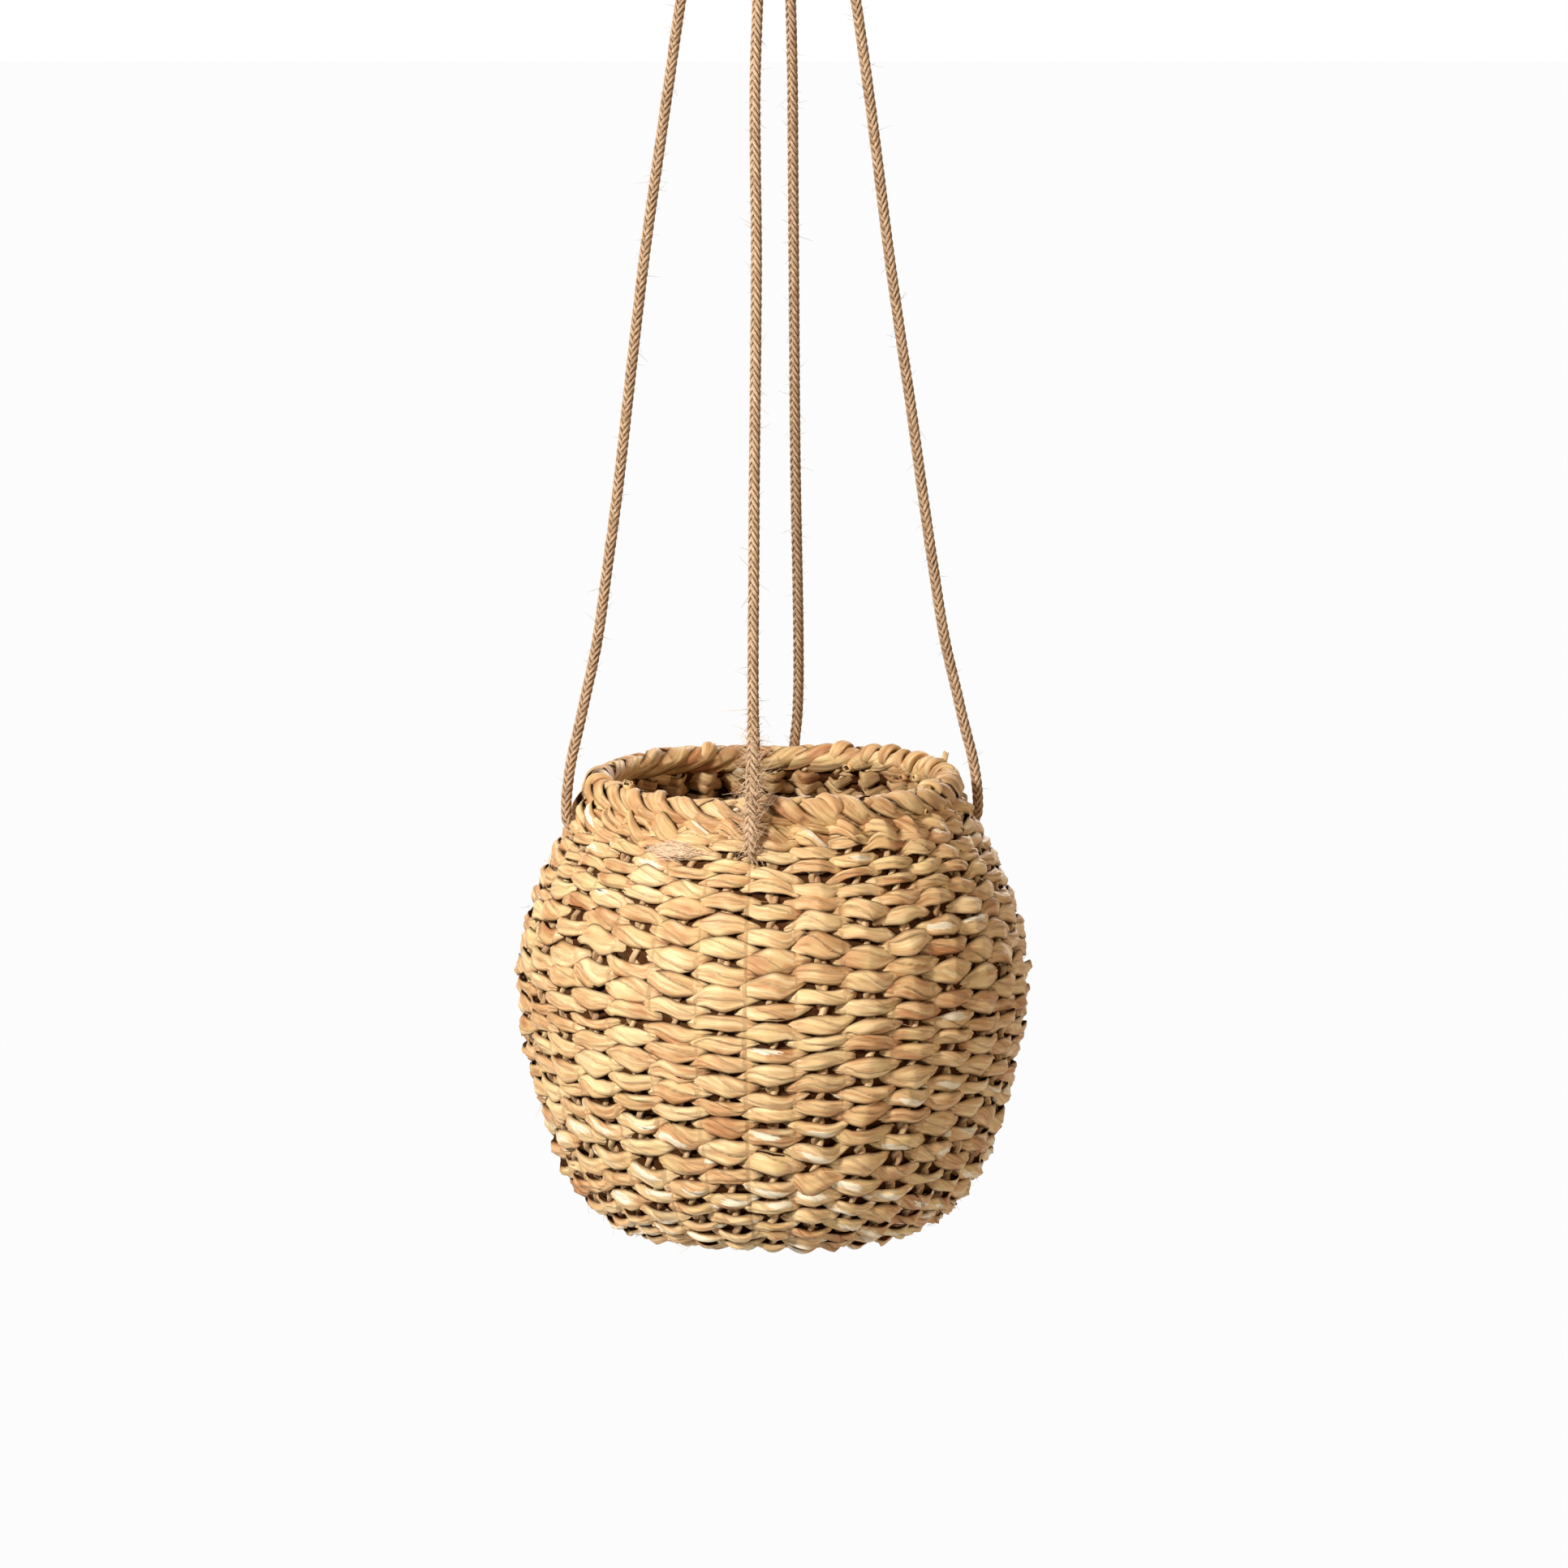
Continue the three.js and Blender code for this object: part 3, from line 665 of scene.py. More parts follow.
def fibres(piece, roots, ways, lengths, curl=0.5, radius=0.00009):
    """Fine bent hairs that start at roots."""
    random = piece.random
    share = np.linspace(0, 1, 5)
    bend = unit(random.normal(size=ways.shape)) * curl
    line = (roots[:, None] + (lengths[:, None] * share)[..., None] * ways[:, None]
            + (lengths[:, None] * share ** 2)[..., None] * bend[:, None])
    across = unit(np.cross(ways, random.normal(size=ways.shape)))
    beside = np.cross(ways, across)
    angle = np.arange(3)[:, None] * FULL_TURN / 3
    ring = np.cos(angle) * across[:, None] + np.sin(angle) * beside[:, None]
    width = radius * (1 - 0.7 * share)
    rings = line[:, :, None] + width[None, :, None, None] * ring[:, None]
    for hair, hair_rings in enumerate(rings):
        piece.tube(hair_rings, (0.0, 0.0, hair * 0.37), random.normal(0.4, 0.4))


def straw_hairs(piece, distance, count):
    """Loose fibres that stand off a row."""
    random = piece.random
    turn = random.uniform(0, FULL_TURN, count)
    flat, way, out = wall(distance + random.uniform(-HAIR_SCATTER, HAIR_SCATTER, count), HAIR_INSET)
    side = np.where(random.random(count) < 0.5, 1.0, -1.0)[:, None]
    ways = unit(round_axis(1, turn, 0) * side + placed(out, turn) * random.uniform(0.05, 0.6, (count, 1))
                + UP * random.normal(0, 0.3, (count, 1)))
    lengths = HAIR_LENGTH * random.uniform(0.3, 1.0, count)
    fibres(piece, placed(flat, turn), ways, lengths, curl=0.25, radius=HAIR_RADIUS)


def woven_rows(straw):
    """The rows of the wall: each has two strands that pass outside the stakes by turns."""
    bands = {17: ["inner_weave_band_3"], 10: ["inner_weave_band_2"], 4: ["inner_weave_band_1"]}
    nodes = {row: f"weft_row_{row:02d}" for row in range(1, ROWS + 1)}
    spread = random_for("row places")
    edges = {row: ring_places[node] - ring_pitch[node] / 2 + spread.uniform(-ROW_SCATTER, ROW_SCATTER)
             for row, node in nodes.items()}
    edges[ROWS] = ring_places[nodes[ROWS]] - TOP_ROW_RISE
    edges[0] = ring_places[nodes[1]] + ring_pitch[nodes[1]] / 2
    for row, node in nodes.items():
        piece = Piece(f"woven_row_{row:02d}")
        place, pitch = (edges[row] + edges[row - 1]) / 2, edges[row - 1] - edges[row]
        low = np.clip((WORN_ROWS - row) / WORN_ROW_BLEND, 0, 1)
        woven_pair(piece, place, pitch, pitch / 2, wear=low, slim=1 - 0.18 * low, thick=1 + 0.3 * low,
                   crisp=1 - 0.7 * low, reach=STRAND_REACH - 0.0007 * np.clip((4 - row) / 3, 0, 1))
        straw_hairs(piece, place, ROW_HAIRS[0] + int(ROW_HAIRS[1] * low))
        piece.build(straw, "basket", "woven_grass", node, *bands.get(row, []))


def base_weave(straw):
    """The rounds of the base, which show under the stakes and over them."""
    for number, floors in ((3, ["floor_round_2"]), (2, ["floor_round_1"]), (1, [])):
        node = f"base_round_{number}"
        piece = Piece(f"base_weave_{number}")
        pitch = ring_pitch[node] / 2
        count = STAKES if number == 3 else STAKES // 2
        for half in (-0.5, 0.5):
            woven_pair(piece, ring_places[node] + half * pitch, pitch, pitch / 2, count=count,
                       reach=BASE_REACH, wear=0.3, crisp=0.2)
        piece.build(straw, "basket", "woven_grass", node, *floors)


def lower_twist(straw):
    """The twisted row under the border, with two plain ones and a sheet of painted shade behind it."""
    node = "border_lower_twist"
    place = ring_places[node]
    piece = Piece("twisted_row")
    woven_pair(piece, place + TWIST_PLACE, TWIST_PITCH, 0, slant=TWIST_SLANT, thick=1.25,
               reach=TWIST_REACH, dive=1.1, bias=0.15, depth=0.3)
    for plain in PLAIN_PLACES:
        woven_pair(piece, place + plain, PLAIN_PITCH, PLAIN_APART, reach=PLAIN_REACH,
                   inset=STAKE_INSET + 0.0010)
    # The sheet of painted shade behind the row.
    turn = np.linspace(0, FULL_TURN, 8 * STAKES, endpoint=False)
    down = place + SHADE_SHEET_PLACE + sway(turn, place)
    radius = wall(down, SHADE_SHEET_INSET)[0][:, 0]
    painted_shade_band(piece, turn, down, SHADE_SHEET_INSET, SHADE_SHEET_HALF, SHADE_SHEET_THICKNESS, 8, radius, 0.009)
    piece.build(straw, "basket", "grass_border", node)


def stake_line(group, place):
    """The middle of a stake: down one side, across under the middle, and up the other side."""
    group_turn = np.pi / STAKES + group * np.pi / 2
    level = ring_middles[-1][1] + STAKE_INSET + group * 2.2 * PLY_RADIUS
    flat = wall(np.linspace(STAKE_TOP, ring_places["base_round_3"], 60), STAKE_INSET)[0]
    sides = []
    for turn, sense in ((group_turn + place * FULL_TURN / STAKES, 1),
                        (group_turn + np.pi - place * FULL_TURN / STAKES, -1)):
        crossing = (round_axis(sense * CROSSING_REACH, group_turn, level)
                    + round_axis(place * STAKE_PITCH, group_turn + np.pi / 2, 0))
        sides.append(np.vstack([round_axis(flat[:, 0], turn, flat[:, 1]),
                                round_axis(SPREAD_RADIUS, turn, level), crossing]))
    return smooth_line(np.vstack([sides[0], sides[1][::-1]]), STAKE_STEP)


def stakes(straw):
    """Each stake is a pair of twisted stems."""
    for stake in range(2 * STAKES_PER_GROUP):
        group, place = divmod(stake, STAKES_PER_GROUP)
        piece = Piece(f"twisted_stake_{stake + 1:02d}")
        line = stake_line(group, place - (STAKES_PER_GROUP - 1) / 2)
        way, side, over = carried_frames(line)
        along = lengths_along(line)
        narrow = np.clip(np.hypot(line[:, 0], line[:, 1]) / 0.05, 0.72, 1)
        for ply in range(2):
            turn = (along / PLY_PITCH * FULL_TURN + ply * np.pi + 0.5 * np.sin(along * 90))[:, None]
            middle = line + (PLY_RADIUS * narrow)[:, None] * (np.cos(turn) * side + np.sin(turn) * over)
            size = PLY_THICKNESS * narrow * (1 + 0.10 * np.sin(along * 160 + ply))
            rings, angle = ring_of(middle, side, over, size, size, 8)
            grain = together(along[:, None], angle * PLY_RADIUS, piece.random.uniform(0, 9))
            piece.tube(rings, grain, piece.random.normal(0.2, 0.4))
        piece.build(straw, "basket", "grass_stakes", f"stake_{stake + 1:02d}")


# The border

def rim_height(turn):
    """How far the rim runs up and down."""
    return RIM_TILT[0] + RIM_TILT[1] * np.cos(turn) + RIM_WAVE * np.sin(5 * turn + 1)


rope_middle = section_of("border_rope").mean(0) - [RIM_INSET, 0]
rope_down = unit(ring_middles[1] - ring_middles[0] + [0, -0.004])


def astride(spread, turn, height):
    """Places on the saddle over the rim: spread is 0 at the crest and grows to the outside."""
    quarter = PLAIT_RADIUS * np.pi / 2
    angle = np.clip(spread, -quarter, quarter) / PLAIT_RADIUS
    beyond = np.clip(np.abs(spread) - quarter, 0, None)
    tuck = PLAIT_TUCK * np.clip(beyond / (PLAIT_SPREAD - quarter), 0, 1.5) ** 2
    radius = PLAIT_RADIUS + height - tuck * np.where(spread > 0, 1, 0.4)
    flat = rope_middle + radius[..., None] * together(np.sin(angle), np.cos(angle))
    return placed(flat + beyond[..., None] * rope_down + together(0, rim_height(turn)), turn)


def knuckle(piece, random, turn, start, end, slant, rise, width):
    """A loop of a strand that stands up from the border, from one spread to another."""
    share = np.linspace(0, 1, 15)
    spread = start + (end - start) * share
    turns = turn + slant * (share - 0.5)
    height = KNUCKLE_LIFT + rise * np.sin(np.pi * share) ** 0.8 - KNUCKLE_TUCK * (2 * share - 1) ** 6
    line = astride(spread, turns, height)
    out = unit(astride(spread, turns, height + 0.001) - line)
    wide = width * (0.55 + 0.45 * np.sin(np.pi * share)) * (1 + 0.1 * np.sin(9 * share + turn))
    side = unit(np.cross(unit(np.gradient(line, axis=0)), out))
    rings, angle = ring_of(line, side, out, wide, KNUCKLE_OVAL * wide, 14)
    folds = 1 + 0.10 * np.cos(4 * angle + 5 * share[:, None] + turn * 9)
    rings = line[:, None] + (rings - line[:, None]) * folds[..., None]
    grain = together((share * 0.02)[:, None], np.cos(angle) * 0.004, random.uniform(0, 9))
    # Painted shade on the knuckle's sides and underside, towards the plait.
    painted_shade = 0.45 * np.clip(1 - 2.2 * np.sin(angle), 0, 1)
    piece.tube(rings, grain, random.normal(-0.1, 0.35), 0.0, painted_shade)


def cut_end(piece, random, root, way, length, width):
    """The hollow end of a strand, cut off square."""
    way = unit(np.array(way, float))
    side = unit(np.cross(way, [0.3, 0.2, 1.0]))
    along, size, hollow = (column[:, None] for column in CUT_PROFILE.T)
    along, size = along * length, size * width
    rings, angle = ring_of(root + along * way, side, np.cross(way, side), size, CUT_OVAL * size, 14)
    rings = rings + (0.0004 * np.cos(3 * angle + 1) * (along > 0.9 * length))[..., None] * way
    grain = together(along, angle * width, random.uniform(0, 9))
    # Painted shade, deepest down inside the hollow of the cut end and a little at its root.
    piece.tube(rings, grain, random.normal(0.1, 0.3), 0.0, hollow)


def loose_ends(piece):
    """Knuckles and cut ends that stand up from the border, most of them at the back on the right."""
    random = random_for("loose ends")
    for degrees, *sizes in KNUCKLES:
        knuckle(piece, random, math.radians(degrees), *sizes)
    for degrees, spread, height, up, out, length, width in CUT_ENDS:
        turn = math.radians(degrees)
        root = astride(np.array([spread]), np.array([turn]), np.array([height]))[0]
        way = placed(np.array([out, up]), turn) + 0.3 * round_axis(1, turn, 0)
        cut_end(piece, random, root, way, length, width)


def border_plait(straw):
    """The plait of turned-down stake ends, which sits astride the wall's top edge."""
    radius, level = rope_middle
    piece = Piece("border_plait")
    stations = PLAIT_STATIONS * PLAIT_PERIODS
    turn = np.arange(stations) / stations * FULL_TURN
    for strand in range(PLAIT_STRANDS):
        phase = PLAIT_PERIODS * turn + strand * FULL_TURN / PLAIT_STRANDS + 0.12 * np.sin(4 * turn + strand)
        looks = stitch_randoms(piece.random, 2 * PLAIT_PERIODS, 0.1)
        place = phase / np.pi - 0.25
        stitch = np.floor(place).astype(int) % (2 * PLAIT_PERIODS)
        share = place - np.floor(place) - 0.5
        values = per_stitch(looks, stitch, share)
        size = PLAIT_SPREAD * (1 + 0.06 * np.sin(6 * turn + 2 * strand) + 0.4 * (values["size"] - 1))
        size = size * np.where(np.sin(phase) > 0, 1, PLAIT_INNER_SPREAD)
        spread = size * np.sin(phase)
        slope = (size * np.cos(phase) * PLAIT_PERIODS / radius)[:, None]
        at_edge = np.where(spread > 0, PLAIT_EDGE_SHARE, PLAIT_INNER_SHARE)
        wide = PLAIT_WIDTH * (at_edge + (1 - at_edge) * np.cos(phase) ** 2) * values["size"]
        lift = PLAIT_LIFT * np.sin(2 * phase) + values["lift"]
        up, proud, over, seam, tone = strand_section(wide, wide, wide, PLAIT_THICKNESS, values, share)
        reach = np.sqrt(1 + slope ** 2)
        rings = astride(spread[:, None] - up / reach, turn[:, None] + up * slope / reach / radius,
                        lift[:, None] + proud)
        grain = together((turn * radius * 1.4)[:, None], up, strand * 3.7 + over * 3)
        torn = 0.8 * looks["pith"][stitch][:, None] * np.exp(
            -((ACROSS - 0.3) / 0.4) ** 2 - (share[:, None] / 0.2) ** 2)
        # Painted shade at the strand's edges, over its inner face and where it passes under the others.
        piece.tube(rings, grain, tone, torn, painted_shade_of(0.25 + 0.6 * np.sin(2 * phase)), closed=True)
    loose_ends(piece)
    straw_hairs(piece, STAKE_TOP, BORDER_HAIRS)
    # The stake ends inside the plait, in a darker tone and with painted shade where the gaps show them.
    centre = together(radius + RIM_INSET + CORE_OFFSET, level - CORE_DROP + rim_height(turn))
    ends, around = ring_of(placed(centre, turn), placed(np.array([1.0, 0]), turn), UP, CORE_WIDTH,
                           CORE_HEIGHT * (1 + 0.06 * np.sin(32 * turn)), 12)
    grain = together((turn * radius)[:, None], around * CORE_HEIGHT, 2.0)
    piece.tube(ends, grain, -0.4, 0.0, 0.8, closed=True)
    piece.build(straw, "basket", "grass_border", "border_rope")


# Jute

def braid(piece, line, scale=1.0, first=FRONT, worn=False):
    """Yarns that wind both ways round a line and lie on top of each other by quarters."""
    line = smooth_line(line, BRAID_STEP)
    way, side, over = carried_frames(line, first)
    along = lengths_along(line)
    swell = np.full(len(line), scale)
    if worn:
        swell = swell * (1 + WORN_SWELL / (1 + np.exp((line[:, 2] - WORN_PLACE) / WORN_BLEND)))
    for sense in (1, -1):
        for yarn in range(BRAID_YARNS):
            turn = sense * along / (BRAID_PITCH * scale) * FULL_TURN + yarn * FULL_TURN / BRAID_YARNS
            lift = -sense * BRAID_LIFT * np.cos(2 * turn + np.pi / 4)
            out = np.cos(turn)[:, None] * side + np.sin(turn)[:, None] * over
            centre = line + (swell * (BRAID_MIDDLE + lift))[:, None] * out
            beside = np.cross(unit(np.gradient(centre, axis=0)), out)
            wide = swell * YARN_WIDTH / 2 * (1 + 0.12 * np.sin(along * 700 + yarn * 2))
            rings, angle = ring_of(centre, beside, out, wide, swell * YARN_THICKNESS / 2, 7)
            grain = together(along[:, None], angle * YARN_WIDTH / 2, piece.random.uniform(0, 9))
            # Painted shade at the sides of each yarn and where it passes under the others.
            deep = np.maximum(np.abs(np.cos(angle)) ** 4, np.clip(0.35 - lift / BRAID_LIFT, 0, 1)[:, None])
            tone = piece.random.normal(WORN_PALE if worn else 0.0, 0.4)
            piece.tube(rings, grain, tone, 0.0, deep)
    return line


def cord_fuzz(piece, line, outward, chance, fuzz):
    """Loose fibres that stand off a cord, where the chance of each place says."""
    count, longest, radius, reach = fuzz
    random = piece.random
    start = random.choice(len(line), count, p=chance / chance.sum())
    way, side, over = carried_frames(line, outward)
    turn = random.uniform(0, FULL_TURN, count)[:, None]
    out = np.cos(turn) * side[start] + np.sin(turn) * over[start]
    slope = random.normal(0, 0.8, count)[:, None]
    fibres(piece, line[start] + out * reach, unit(out + slope * way[start]),
           random.uniform(0.001, longest, count), curl=0.9, radius=radius)


def cords(jute, frayed_jute):
    """The four cords with their loose fibres, and the hanging loop."""
    for side_name, route in ROUTES.items():
        piece = Piece(f"braided_cord_{side_name}")
        outward = np.array(route[-3]) * LEVEL
        worn = side_name == "front"
        route = [(CORD_GATHER * route[0][0], CORD_GATHER * route[0][1], CORD_TOP)] + route
        line = braid(piece, route, first=outward, worn=worn)
        made = piece.build(jute, "basket", "jute_cord", f"cord_{side_name}")
        hairs = Piece(f"cord_fibres_{side_name}", piece.random)
        cord_fuzz(hairs, line, outward, np.ones(len(line)), CORD_FUZZ)
        hair_pieces = [hairs.build(jute, "basket", "jute_cord")]
        if worn:
            fuzz = Piece("worn_cord_fibres", piece.random)
            chance = 1 / (1 + np.exp((line[:, 2] - WORN_PLACE) / FUZZ_BLEND)) + 1e-4
            cord_fuzz(fuzz, line, outward, chance, WORN_FUZZ)
            hair_pieces.append(fuzz.build(frayed_jute, "basket", "jute_cord"))
        length = float(lengths_along(line)[-1])
        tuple(route[0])
    piece = Piece("braided_loop")
    line = braid(piece, LOOP_ROUTE)
    made = piece.build(jute, "hook_loop", "jute_cord", "hanging_loop")
    length = float(lengths_along(line)[-1])
    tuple(LOOP_ROUTE[0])


def trefoil(size, depth):
    """A knotted line round the origin, of a given radius, with its first and last points apart."""
    t = np.linspace(0.12, FULL_TURN - 0.12, 60)
    return (size * (np.sin(t) + 2 * np.sin(2 * t))[:, None] / 3,
            size * (np.cos(t) - 2 * np.cos(2 * t))[:, None] / 3, -depth * np.sin(3 * t)[:, None])


def stopper_knots(jute):
    """A knot with a frayed tail on the end of each cord, inside the wall."""
    for side_name in ROUTES:
        node = f"stopper_knot_{side_name}"
        piece = Piece(f"tied_{node}")
        centre = middle_of(node)
        outward = unit(centre * LEVEL)
        across, above, inward = trefoil(STOPPER_RADIUS, STOPPER_DEPTH)
        knot = across * np.cross(UP, outward) + above * UP + inward * outward
        braid(piece, centre + knot, STOPPER_SCALE)
        tail = centre - outward * 0.002 - np.array(TAIL_DROPS)[:, None] * UP
        random = piece.random
        tail = tail + random.normal(0, 0.0006, tail.shape)
        line = braid(piece, tail, TAIL_SCALE)
        tips = random.integers(len(line) - 4, len(line), TAIL_FIBRES)
        start = line[tips] + random.normal(0, 0.0011, (TAIL_FIBRES, 3))
        ways = unit(random.normal(0, 0.35, (TAIL_FIBRES, 3)) - UP)
        fibres(piece, start, ways, random.uniform(0.002, 0.007, TAIL_FIBRES), curl=0.3)
        piece.build(jute, "basket", "jute_knots", node)


def gather_knot(jute):
    """The knot that holds the cords together under the hanging loop."""
    piece = Piece("tied_gather_knot")
    centre = middle_of("gather_knot")
    t = np.linspace(0, FULL_TURN, 130)
    line = round_axis(GATHER_RADIUS + GATHER_TUBE * np.cos(4 * t), 3 * t, 1.75 * GATHER_TUBE * np.sin(4 * t))
    braid(piece, centre + line, GATHER_SCALE)
    # The core inside the knot, with painted shade.
    polar = np.linspace(0.15, np.pi - 0.15, 12)
    width, height = GATHER_CORE
    size = width * np.sin(polar)
    rings, around = ring_of(centre + height * np.cos(polar)[:, None] * UP, ALONG_X, ALONG_Y, size, size, 20)
    piece.tube(rings, together(polar[:, None] * 0.006, around * 0.006, 1.0), -0.3, 0.0, 0.6)
    piece.build(jute, "gather", "jute_knots", "gather_knot")


def whipping(jute):
    """Close turns of jute twine round the four cords."""
    low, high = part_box("whipping")
    centre, radius = middle_of("whipping"), (high[0] - low[0]) / 2
    height = NECK_LEVEL - SWING_LEVEL
    piece = Piece("wound_whipping")
    turns = height / TWINE_PITCH
    t = np.linspace(0, 1, int(turns * TWINE_STATIONS))
    angle = FULL_TURN * turns * t
    reach = radius - TWINE_RADIUS + sum(size * np.sin(angle * waves) for size, waves in TWINE_UNEVEN)
    level = NECK_LEVEL - TWINE_RADIUS - t * (height - 2 * TWINE_RADIUS)
    for ply in range(2):
        lay = angle * TWINE_LAY + ply * np.pi
        line = centre * LEVEL + round_axis(reach + TWINE_PLY * np.cos(lay), angle,
                                           level + TWINE_PLY * np.sin(lay))
        way = unit(np.gradient(line, axis=0))
        out = unit(line * LEVEL)
        rings, around = ring_of(line, np.cross(way, out), out, *TWINE_HALF, 7)
        grain = together((angle * radius)[:, None], around * 0.0007, ply * 2.0)
        # Painted shade on the sides and the inner side of each ply.
        piece.tube(rings, grain, 0.2 - 0.3 * ply, 0.0, np.clip(0.7 - np.sin(around), 0, 1))
    braid(piece, [(0, 0, KNOT_LEVEL - 0.0010), (0, 0, NECK_LEVEL - 0.003)], NECK_SCALE)
    core = np.linspace(CORD_TOP + 0.0010, NECK_LEVEL - 0.0006, 7)[:, None]
    size = radius - 2 * TWINE_RADIUS + 0.0004
    sizes = size * np.array([0.7, 0.95, 1, 1, 1, 0.95, 0.7])
    rings, around = ring_of(core * UP, ALONG_X, ALONG_Y, sizes, sizes, 24)
    piece.tube(rings, together(core, around * size, 1.0), -0.3)
    random = piece.random
    spot = random.integers(0, len(t), TWINE_FIBRES)
    out = round_axis(1, angle[spot], 0)
    roots = centre * LEVEL + out * (radius - 0.0008) + level[spot][:, None] * UP
    ways = unit(out + random.normal(0, 0.8, out.shape))
    fibres(piece, roots, ways, random.uniform(0.001, 0.004, TWINE_FIBRES))
    piece.build(jute, "whipped_bundle", "jute_knots", "whipping")


def frayed_end(frayed_jute):
    """The frayed end of a cord that was darned into the wall like a stitch."""
    node = "frayed_cord_end"
    centre = corners_of(node).mean(0)
    around = math.atan2(centre[0], -centre[1])
    distance = outline_along[np.abs(outline[:, 1] - centre[2]).argmin()]
    piece = Piece("frayed_fibres")
    random = piece.random

    def each(draw, *sizes):
        """A random number for each fibre, as a column."""
        return draw(*sizes, FRAYED_FIBRES)[:, None]

    share = np.linspace(-1, 1, 9)[None, :]
    length = each(random.uniform, *FRAYED_HALVES)
    along = each(random.normal, 0, FRAYED_SPREAD) + share * length
    waist = np.sqrt(np.clip(1 - (along / FRAYED_LENGTH) ** 2, 0.02, 1))
    lane = each(random.normal, 0, FRAYED_LANES)
    bow = each(random.normal, 0, FRAYED_BOW) * share ** 2 + each(random.normal, 0, FRAYED_BOW) * share
    height = lane * FRAYED_HEIGHT * waist + bow
    inset = FRAYED_INSET - each(random.uniform, 0, FRAYED_DEPTH) * waist
    inset = inset - FRAYED_FLARE * share ** 2 * each(random.uniform, 0, 1.5)
    flat, way, out = wall(distance - height, inset)
    turn = around + along / math.hypot(centre[0], centre[1])
    lines, normals = placed(flat, turn), placed(out, turn)
    width = each(random.uniform, *FRAYED_RADII) * (1.15 - share ** 4)
    for hair, line in enumerate(lines):
        side = np.cross(unit(np.gradient(line, axis=0)), normals[hair])
        rings, angle = ring_of(line, side, normals[hair], width[hair], width[hair], 3)
        grain = together(along[hair][:, None], angle * 0.0001, hair * 0.3)
        piece.tube(rings, grain, random.normal(0.9, 0.5))
    piece.build(frayed_jute, "basket", "jute_knots", node)


# Materials

def srgb(red, green, blue):
    """A colour given as sRGB numbers from 0 to 255, as linear light."""
    return (*((c / 255 / 12.92) if c <= 10 else ((c / 255 + 0.055) / 1.055) ** 2.4
              for c in (red, green, blue)), 1)


WHITE = (1, 1, 1, 1)
FLOOR_GREY = (0.9, 0.9, 0.9, 1)
# The colour that painted shade darkens the straw towards.
STRAW_PAINTED_SHADE = srgb(72, 42, 24)
STRAW_TINT = srgb(236, 206, 142)
PITH = srgb(248, 231, 200)
# The colour that painted shade darkens the jute towards.
JUTE_PAINTED_SHADE = srgb(100, 66, 44)


class Shading:
    """The nodes of a material or the world, with short ways to add and join them."""

    def __init__(self, owner):
        owner.use_nodes = True
        self.nodes, self.links = owner.node_tree.nodes, owner.node_tree.links

    def fill(self, node, inputs):
        """Sets inputs of a node, by name or number, to values or to other nodes' outputs."""
        for place, value in inputs.items():
            if isinstance(value, bpy.types.NodeSocket):
                self.links.new(value, node.inputs[place])
            else:
                node.inputs[place].default_value = value

    def add(self, kind, inputs=None, **settings):
        made = self.nodes.new(kind)
        for name, setting in settings.items():
            setattr(made, name, setting)
        self.fill(made, inputs or {})
        return made

    def joined(self, operation, *values):
        return self.add("ShaderNodeMath", dict(enumerate(values)), operation=operation).outputs[0]

    def value(self, name):
        """A number kept with the points of the mesh."""
        return self.add("ShaderNodeAttribute", attribute_name=name).outputs["Fac"]

    def noise(self, vector, scale, detail):
        inputs = {"Vector": vector, "Scale": scale, "Detail": detail}
        return self.add("ShaderNodeTexNoise", inputs).outputs["Fac"]

    def streaks(self, scale, detail):
        """Noise drawn out along the strand's grain."""
        grain = self.add("ShaderNodeAttribute", attribute_name="grain").outputs["Vector"]
        stretched = self.add("ShaderNodeVectorMath", {0: grain, 1: scale}, operation="MULTIPLY")
        return self.noise(stretched.outputs[0], 1, detail)

    def ramp(self, value, stops):
        made = self.add("ShaderNodeValToRGB", {"Fac": value})
        elements = made.color_ramp.elements
        while len(elements) < len(stops):
            elements.new(0.5)
        for element, (place, colour) in zip(elements, stops):
            element.position = place
            element.color = colour
        return made.outputs["Color"]

    def mixed(self, share, one, other, kind="MIX"):
        """A mix of two colours by a share."""
        inputs = {0: share, 6: one, 7: other}
        return self.add("ShaderNodeMix", inputs, data_type="RGBA", blend_type=kind).outputs[2]

    def mapped(self, value, low, high, to_low=0.0, to_high=1.0):
        inputs = dict(enumerate((value, low, high, to_low, to_high)))
        return self.add("ShaderNodeMapRange", inputs).outputs[0]

    def bump(self, height, strength, distance, **inputs):
        inputs.update(Height=height, Strength=strength, Distance=distance)
        return self.add("ShaderNodeBump", inputs).outputs["Normal"]

    def surface(self, inputs):
        """Fills the material's own shader."""
        shader = self.nodes["Principled BSDF"]
        self.fill(shader, inputs)
        return shader.outputs[0]

    def seen(self):
        """One for what the camera or a reflection sees, and the node that tells."""
        path = self.add("ShaderNodeLightPath")
        return self.joined("MAXIMUM", path.outputs["Is Camera Ray"], path.outputs["Is Glossy Ray"]), path

    def blend(self, share, one, other):
        return self.add("ShaderNodeMixShader", {0: share, 1: one, 2: other}).outputs[0]


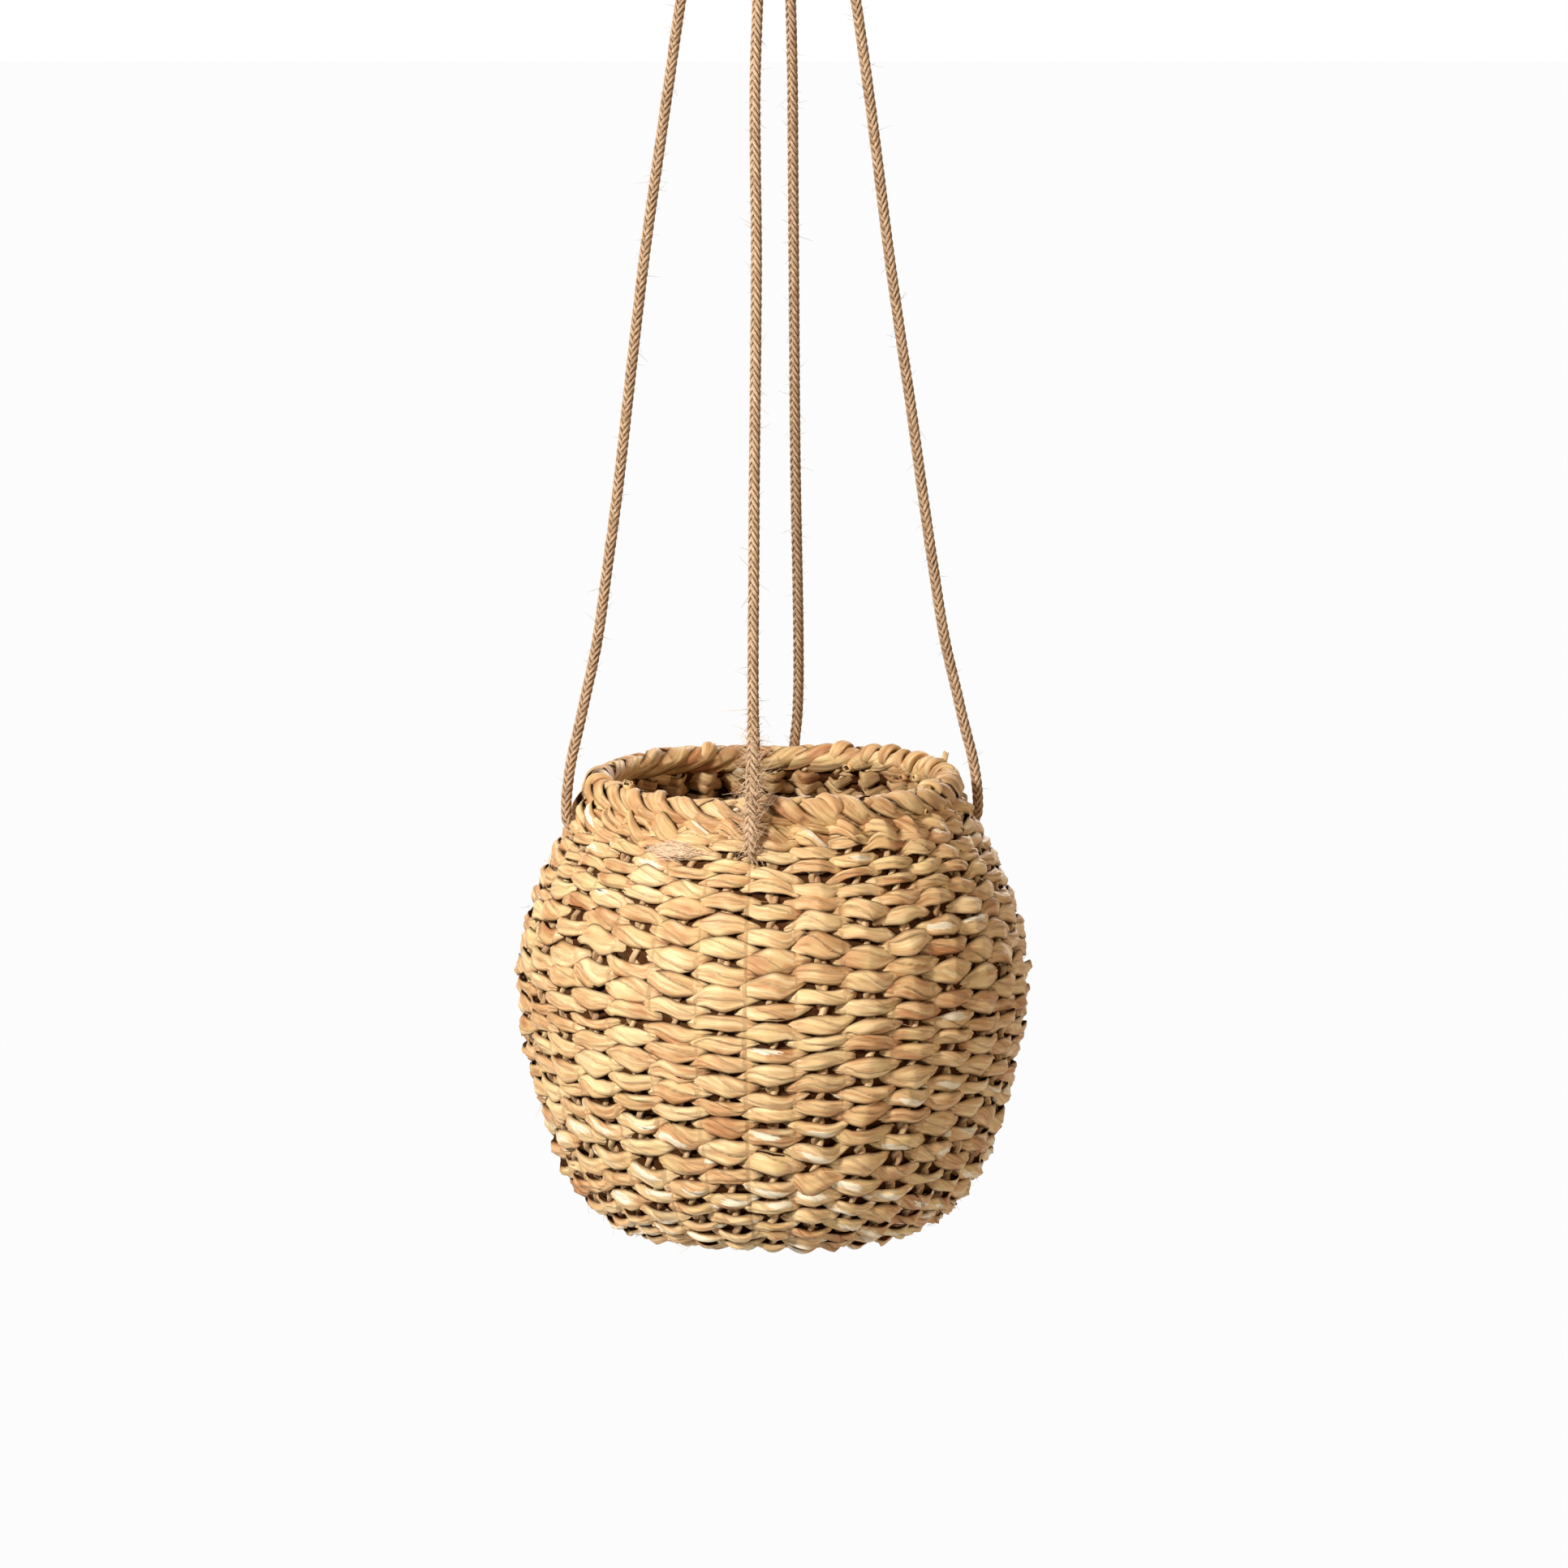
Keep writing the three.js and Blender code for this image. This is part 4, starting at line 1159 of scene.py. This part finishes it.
def straw_material(name, dark, middle, light, deep):
    """Dried grass: fine fibres along each strand, a tone of its own for each stitch, pale pith."""
    material = bpy.data.materials.new(name)
    look = Shading(material)
    broad, fine = look.streaks((55, 420, 7), 3), look.streaks((110, 2600, 7), 2)
    rags = look.streaks((260, 1100, 7), 4)
    tone, pith, painted_shade = look.value("tone"), look.value("pith"), look.value("painted_shade")
    place = look.add("ShaderNodeTexCoord").outputs["Object"]
    shown = look.ramp(broad, ((0.30, dark), (0.48, middle), (0.66, light)))
    shown = look.mixed(look.mapped(fine, 0.32, 0.60, 0.5, 0.0), shown, dark)
    shown = look.mixed(look.mapped(tone, 0, -1.5, 0, 0.8), shown, deep, "MULTIPLY")
    shown = look.mixed(look.mapped(tone, 0, 1.2, 0, 0.45), shown, light)
    shown = look.mixed(look.mapped(look.noise(place, 60, 4), 0.56, 0.70, 0, 0.35), shown, deep, "MULTIPLY")
    shown = look.mixed(look.mapped(look.noise(place, 75, 1), 0.50, 0.64, 0, 0.4), shown, STRAW_TINT)
    ragged = look.mapped(look.joined("MULTIPLY_ADD", rags, 1.6, pith), 1.22, 1.34)
    torn = look.mixed(1.0, ragged, look.mapped(pith, 0.12, 0.3), "MULTIPLY")
    shown = look.mixed(torn, shown, PITH)
    # Painted shade from the meshes darkens the colour here, and takes off the specular below.
    shown = look.mixed(look.mapped(painted_shade, 0.3, 1.0, 0, 0.95), shown, STRAW_PAINTED_SHADE, "MULTIPLY")
    look.surface({
        "Base Color": shown,
        "Roughness": look.mapped(broad, 0.3, 0.7, 0.66, 0.48),
        "Specular IOR Level": look.mapped(painted_shade, 0.2, 0.9, 0.4, 0.0),
        "Normal": look.bump(fine, 0.55, 0.0004, Normal=look.bump(broad, 0.5, 0.0012))})
    return material


def jute_material(name, dark, light):
    """Jute: dull fibres that run slantwise round each yarn."""
    material = bpy.data.materials.new(name)
    look = Shading(material)
    fine, broad = look.streaks((500, 2300, 5), 3), look.streaks((60, 90, 5), 2)
    shown = look.ramp(fine, ((0.32, dark), (0.66, light)))
    shown = look.mixed(look.mapped(broad, 0.4, 0.65, 0, 0.3), shown, dark)
    shown = look.mixed(look.mapped(look.value("tone"), 0, 1.2, 0, 0.4), shown, light)
    # Painted shade from the meshes darkens the colour here.
    shown = look.mixed(look.mapped(look.value("painted_shade"), 0.2, 1.0, 0, 0.8), shown, JUTE_PAINTED_SHADE, "MULTIPLY")
    look.surface({"Base Color": shown, "Roughness": 0.9, "Specular IOR Level": 0.2,
                  "Normal": look.bump(fine, 0.7, 0.0004)})
    return material


# Studio

def white_behind():
    """The world: white where the camera or a reflection sees it, and a soft plain light."""
    world = bpy.data.worlds.new("studio")
    bpy.context.scene.world = world
    look = Shading(world)
    look.nodes.clear()
    seen, path = look.seen()
    seen = look.joined("MAXIMUM", seen, path.outputs["Is Transmission Ray"])
    soft, white = (look.add("ShaderNodeBackground", {"Color": WHITE, "Strength": strength}).outputs[0]
                   for strength in (SOFT_LIGHT, 1.0))
    look.add("ShaderNodeOutputWorld", {"Surface": look.blend(seen, soft, white)})


def floor():
    """A pale floor, well below the hanging basket."""
    mesh = bpy.data.meshes.new("floor")
    mesh.from_pydata([(x * FLOOR_HALF, y * FLOOR_HALF, FLOOR_LEVEL)
                      for x, y in ((-1, -1), (1, -1), (1, 1), (-1, 1))], [], [(0, 1, 2, 3)])
    material = bpy.data.materials.new("floor_white")
    look = Shading(material)
    pale = look.surface({"Base Color": FLOOR_GREY, "Roughness": 0.9})
    share = look.joined("MULTIPLY", look.seen()[0], FLOOR_GLOW)
    glow = look.add("ShaderNodeEmission", {"Color": WHITE}).outputs[0]
    look.fill(look.nodes["Material Output"], {"Surface": look.blend(share, pale, glow)})
    mesh.materials.append(material)
    made = put_in_scene("floor", mesh)


def area_light(name, place, size, power, colour):
    """A round lamp that shines on the middle of the object."""
    lamp = bpy.data.lights.new(name, "AREA")
    lamp.shape = "DISK"
    lamp.size = size
    lamp.energy = power
    lamp.color = colour
    made = put_in_scene(name, lamp)
    made.location = place
    x, y, z = np.array(LAMP_TARGET) - np.array(place)
    made.rotation_euler = (math.atan2(math.hypot(x, y), -z), 0, math.atan2(y, x) - math.pi / 2)


def camera():
    data = bpy.data.cameras.new("camera")
    data.sensor_width = SENSOR
    data.lens = SENSOR * (FOCAL_PIXELS / PICTURE_PIXELS)
    data.clip_end = 200
    made = put_in_scene("camera", data)
    made.location = CAMERA_PLACE
    made.rotation_euler = (math.pi / 2 - CAMERA_PITCH, 0, 0)
    bpy.context.scene.camera = made


def studio():
    white_behind()
    for lamp in LAMPS:
        area_light(*lamp)
    floor()
    bpy.context.scene.view_settings.view_transform = "Standard"


camera()
straw = straw_material("dried_grass", srgb(194, 142, 88), srgb(232, 188, 134), srgb(252, 224, 170),
                       srgb(208, 170, 146))
border_straw = straw_material("border_grass", srgb(178, 125, 75), srgb(221, 173, 118), srgb(241, 208, 154),
                              srgb(204, 160, 134))
stake_straw = straw_material("stake_grass", srgb(150, 108, 70), srgb(204, 162, 116), srgb(232, 198, 150),
                             srgb(196, 154, 128))
jute = jute_material("jute", srgb(140, 102, 70), srgb(236, 202, 164))
frayed_jute = jute_material("frayed_jute", srgb(214, 172, 130), srgb(255, 230, 196))
cords(jute, frayed_jute)
woven_rows(straw)
base_weave(straw)
lower_twist(border_straw)
border_plait(border_straw)
stakes(stake_straw)
stopper_knots(jute)
gather_knot(jute)
whipping(jute)
frayed_end(frayed_jute)
studio()
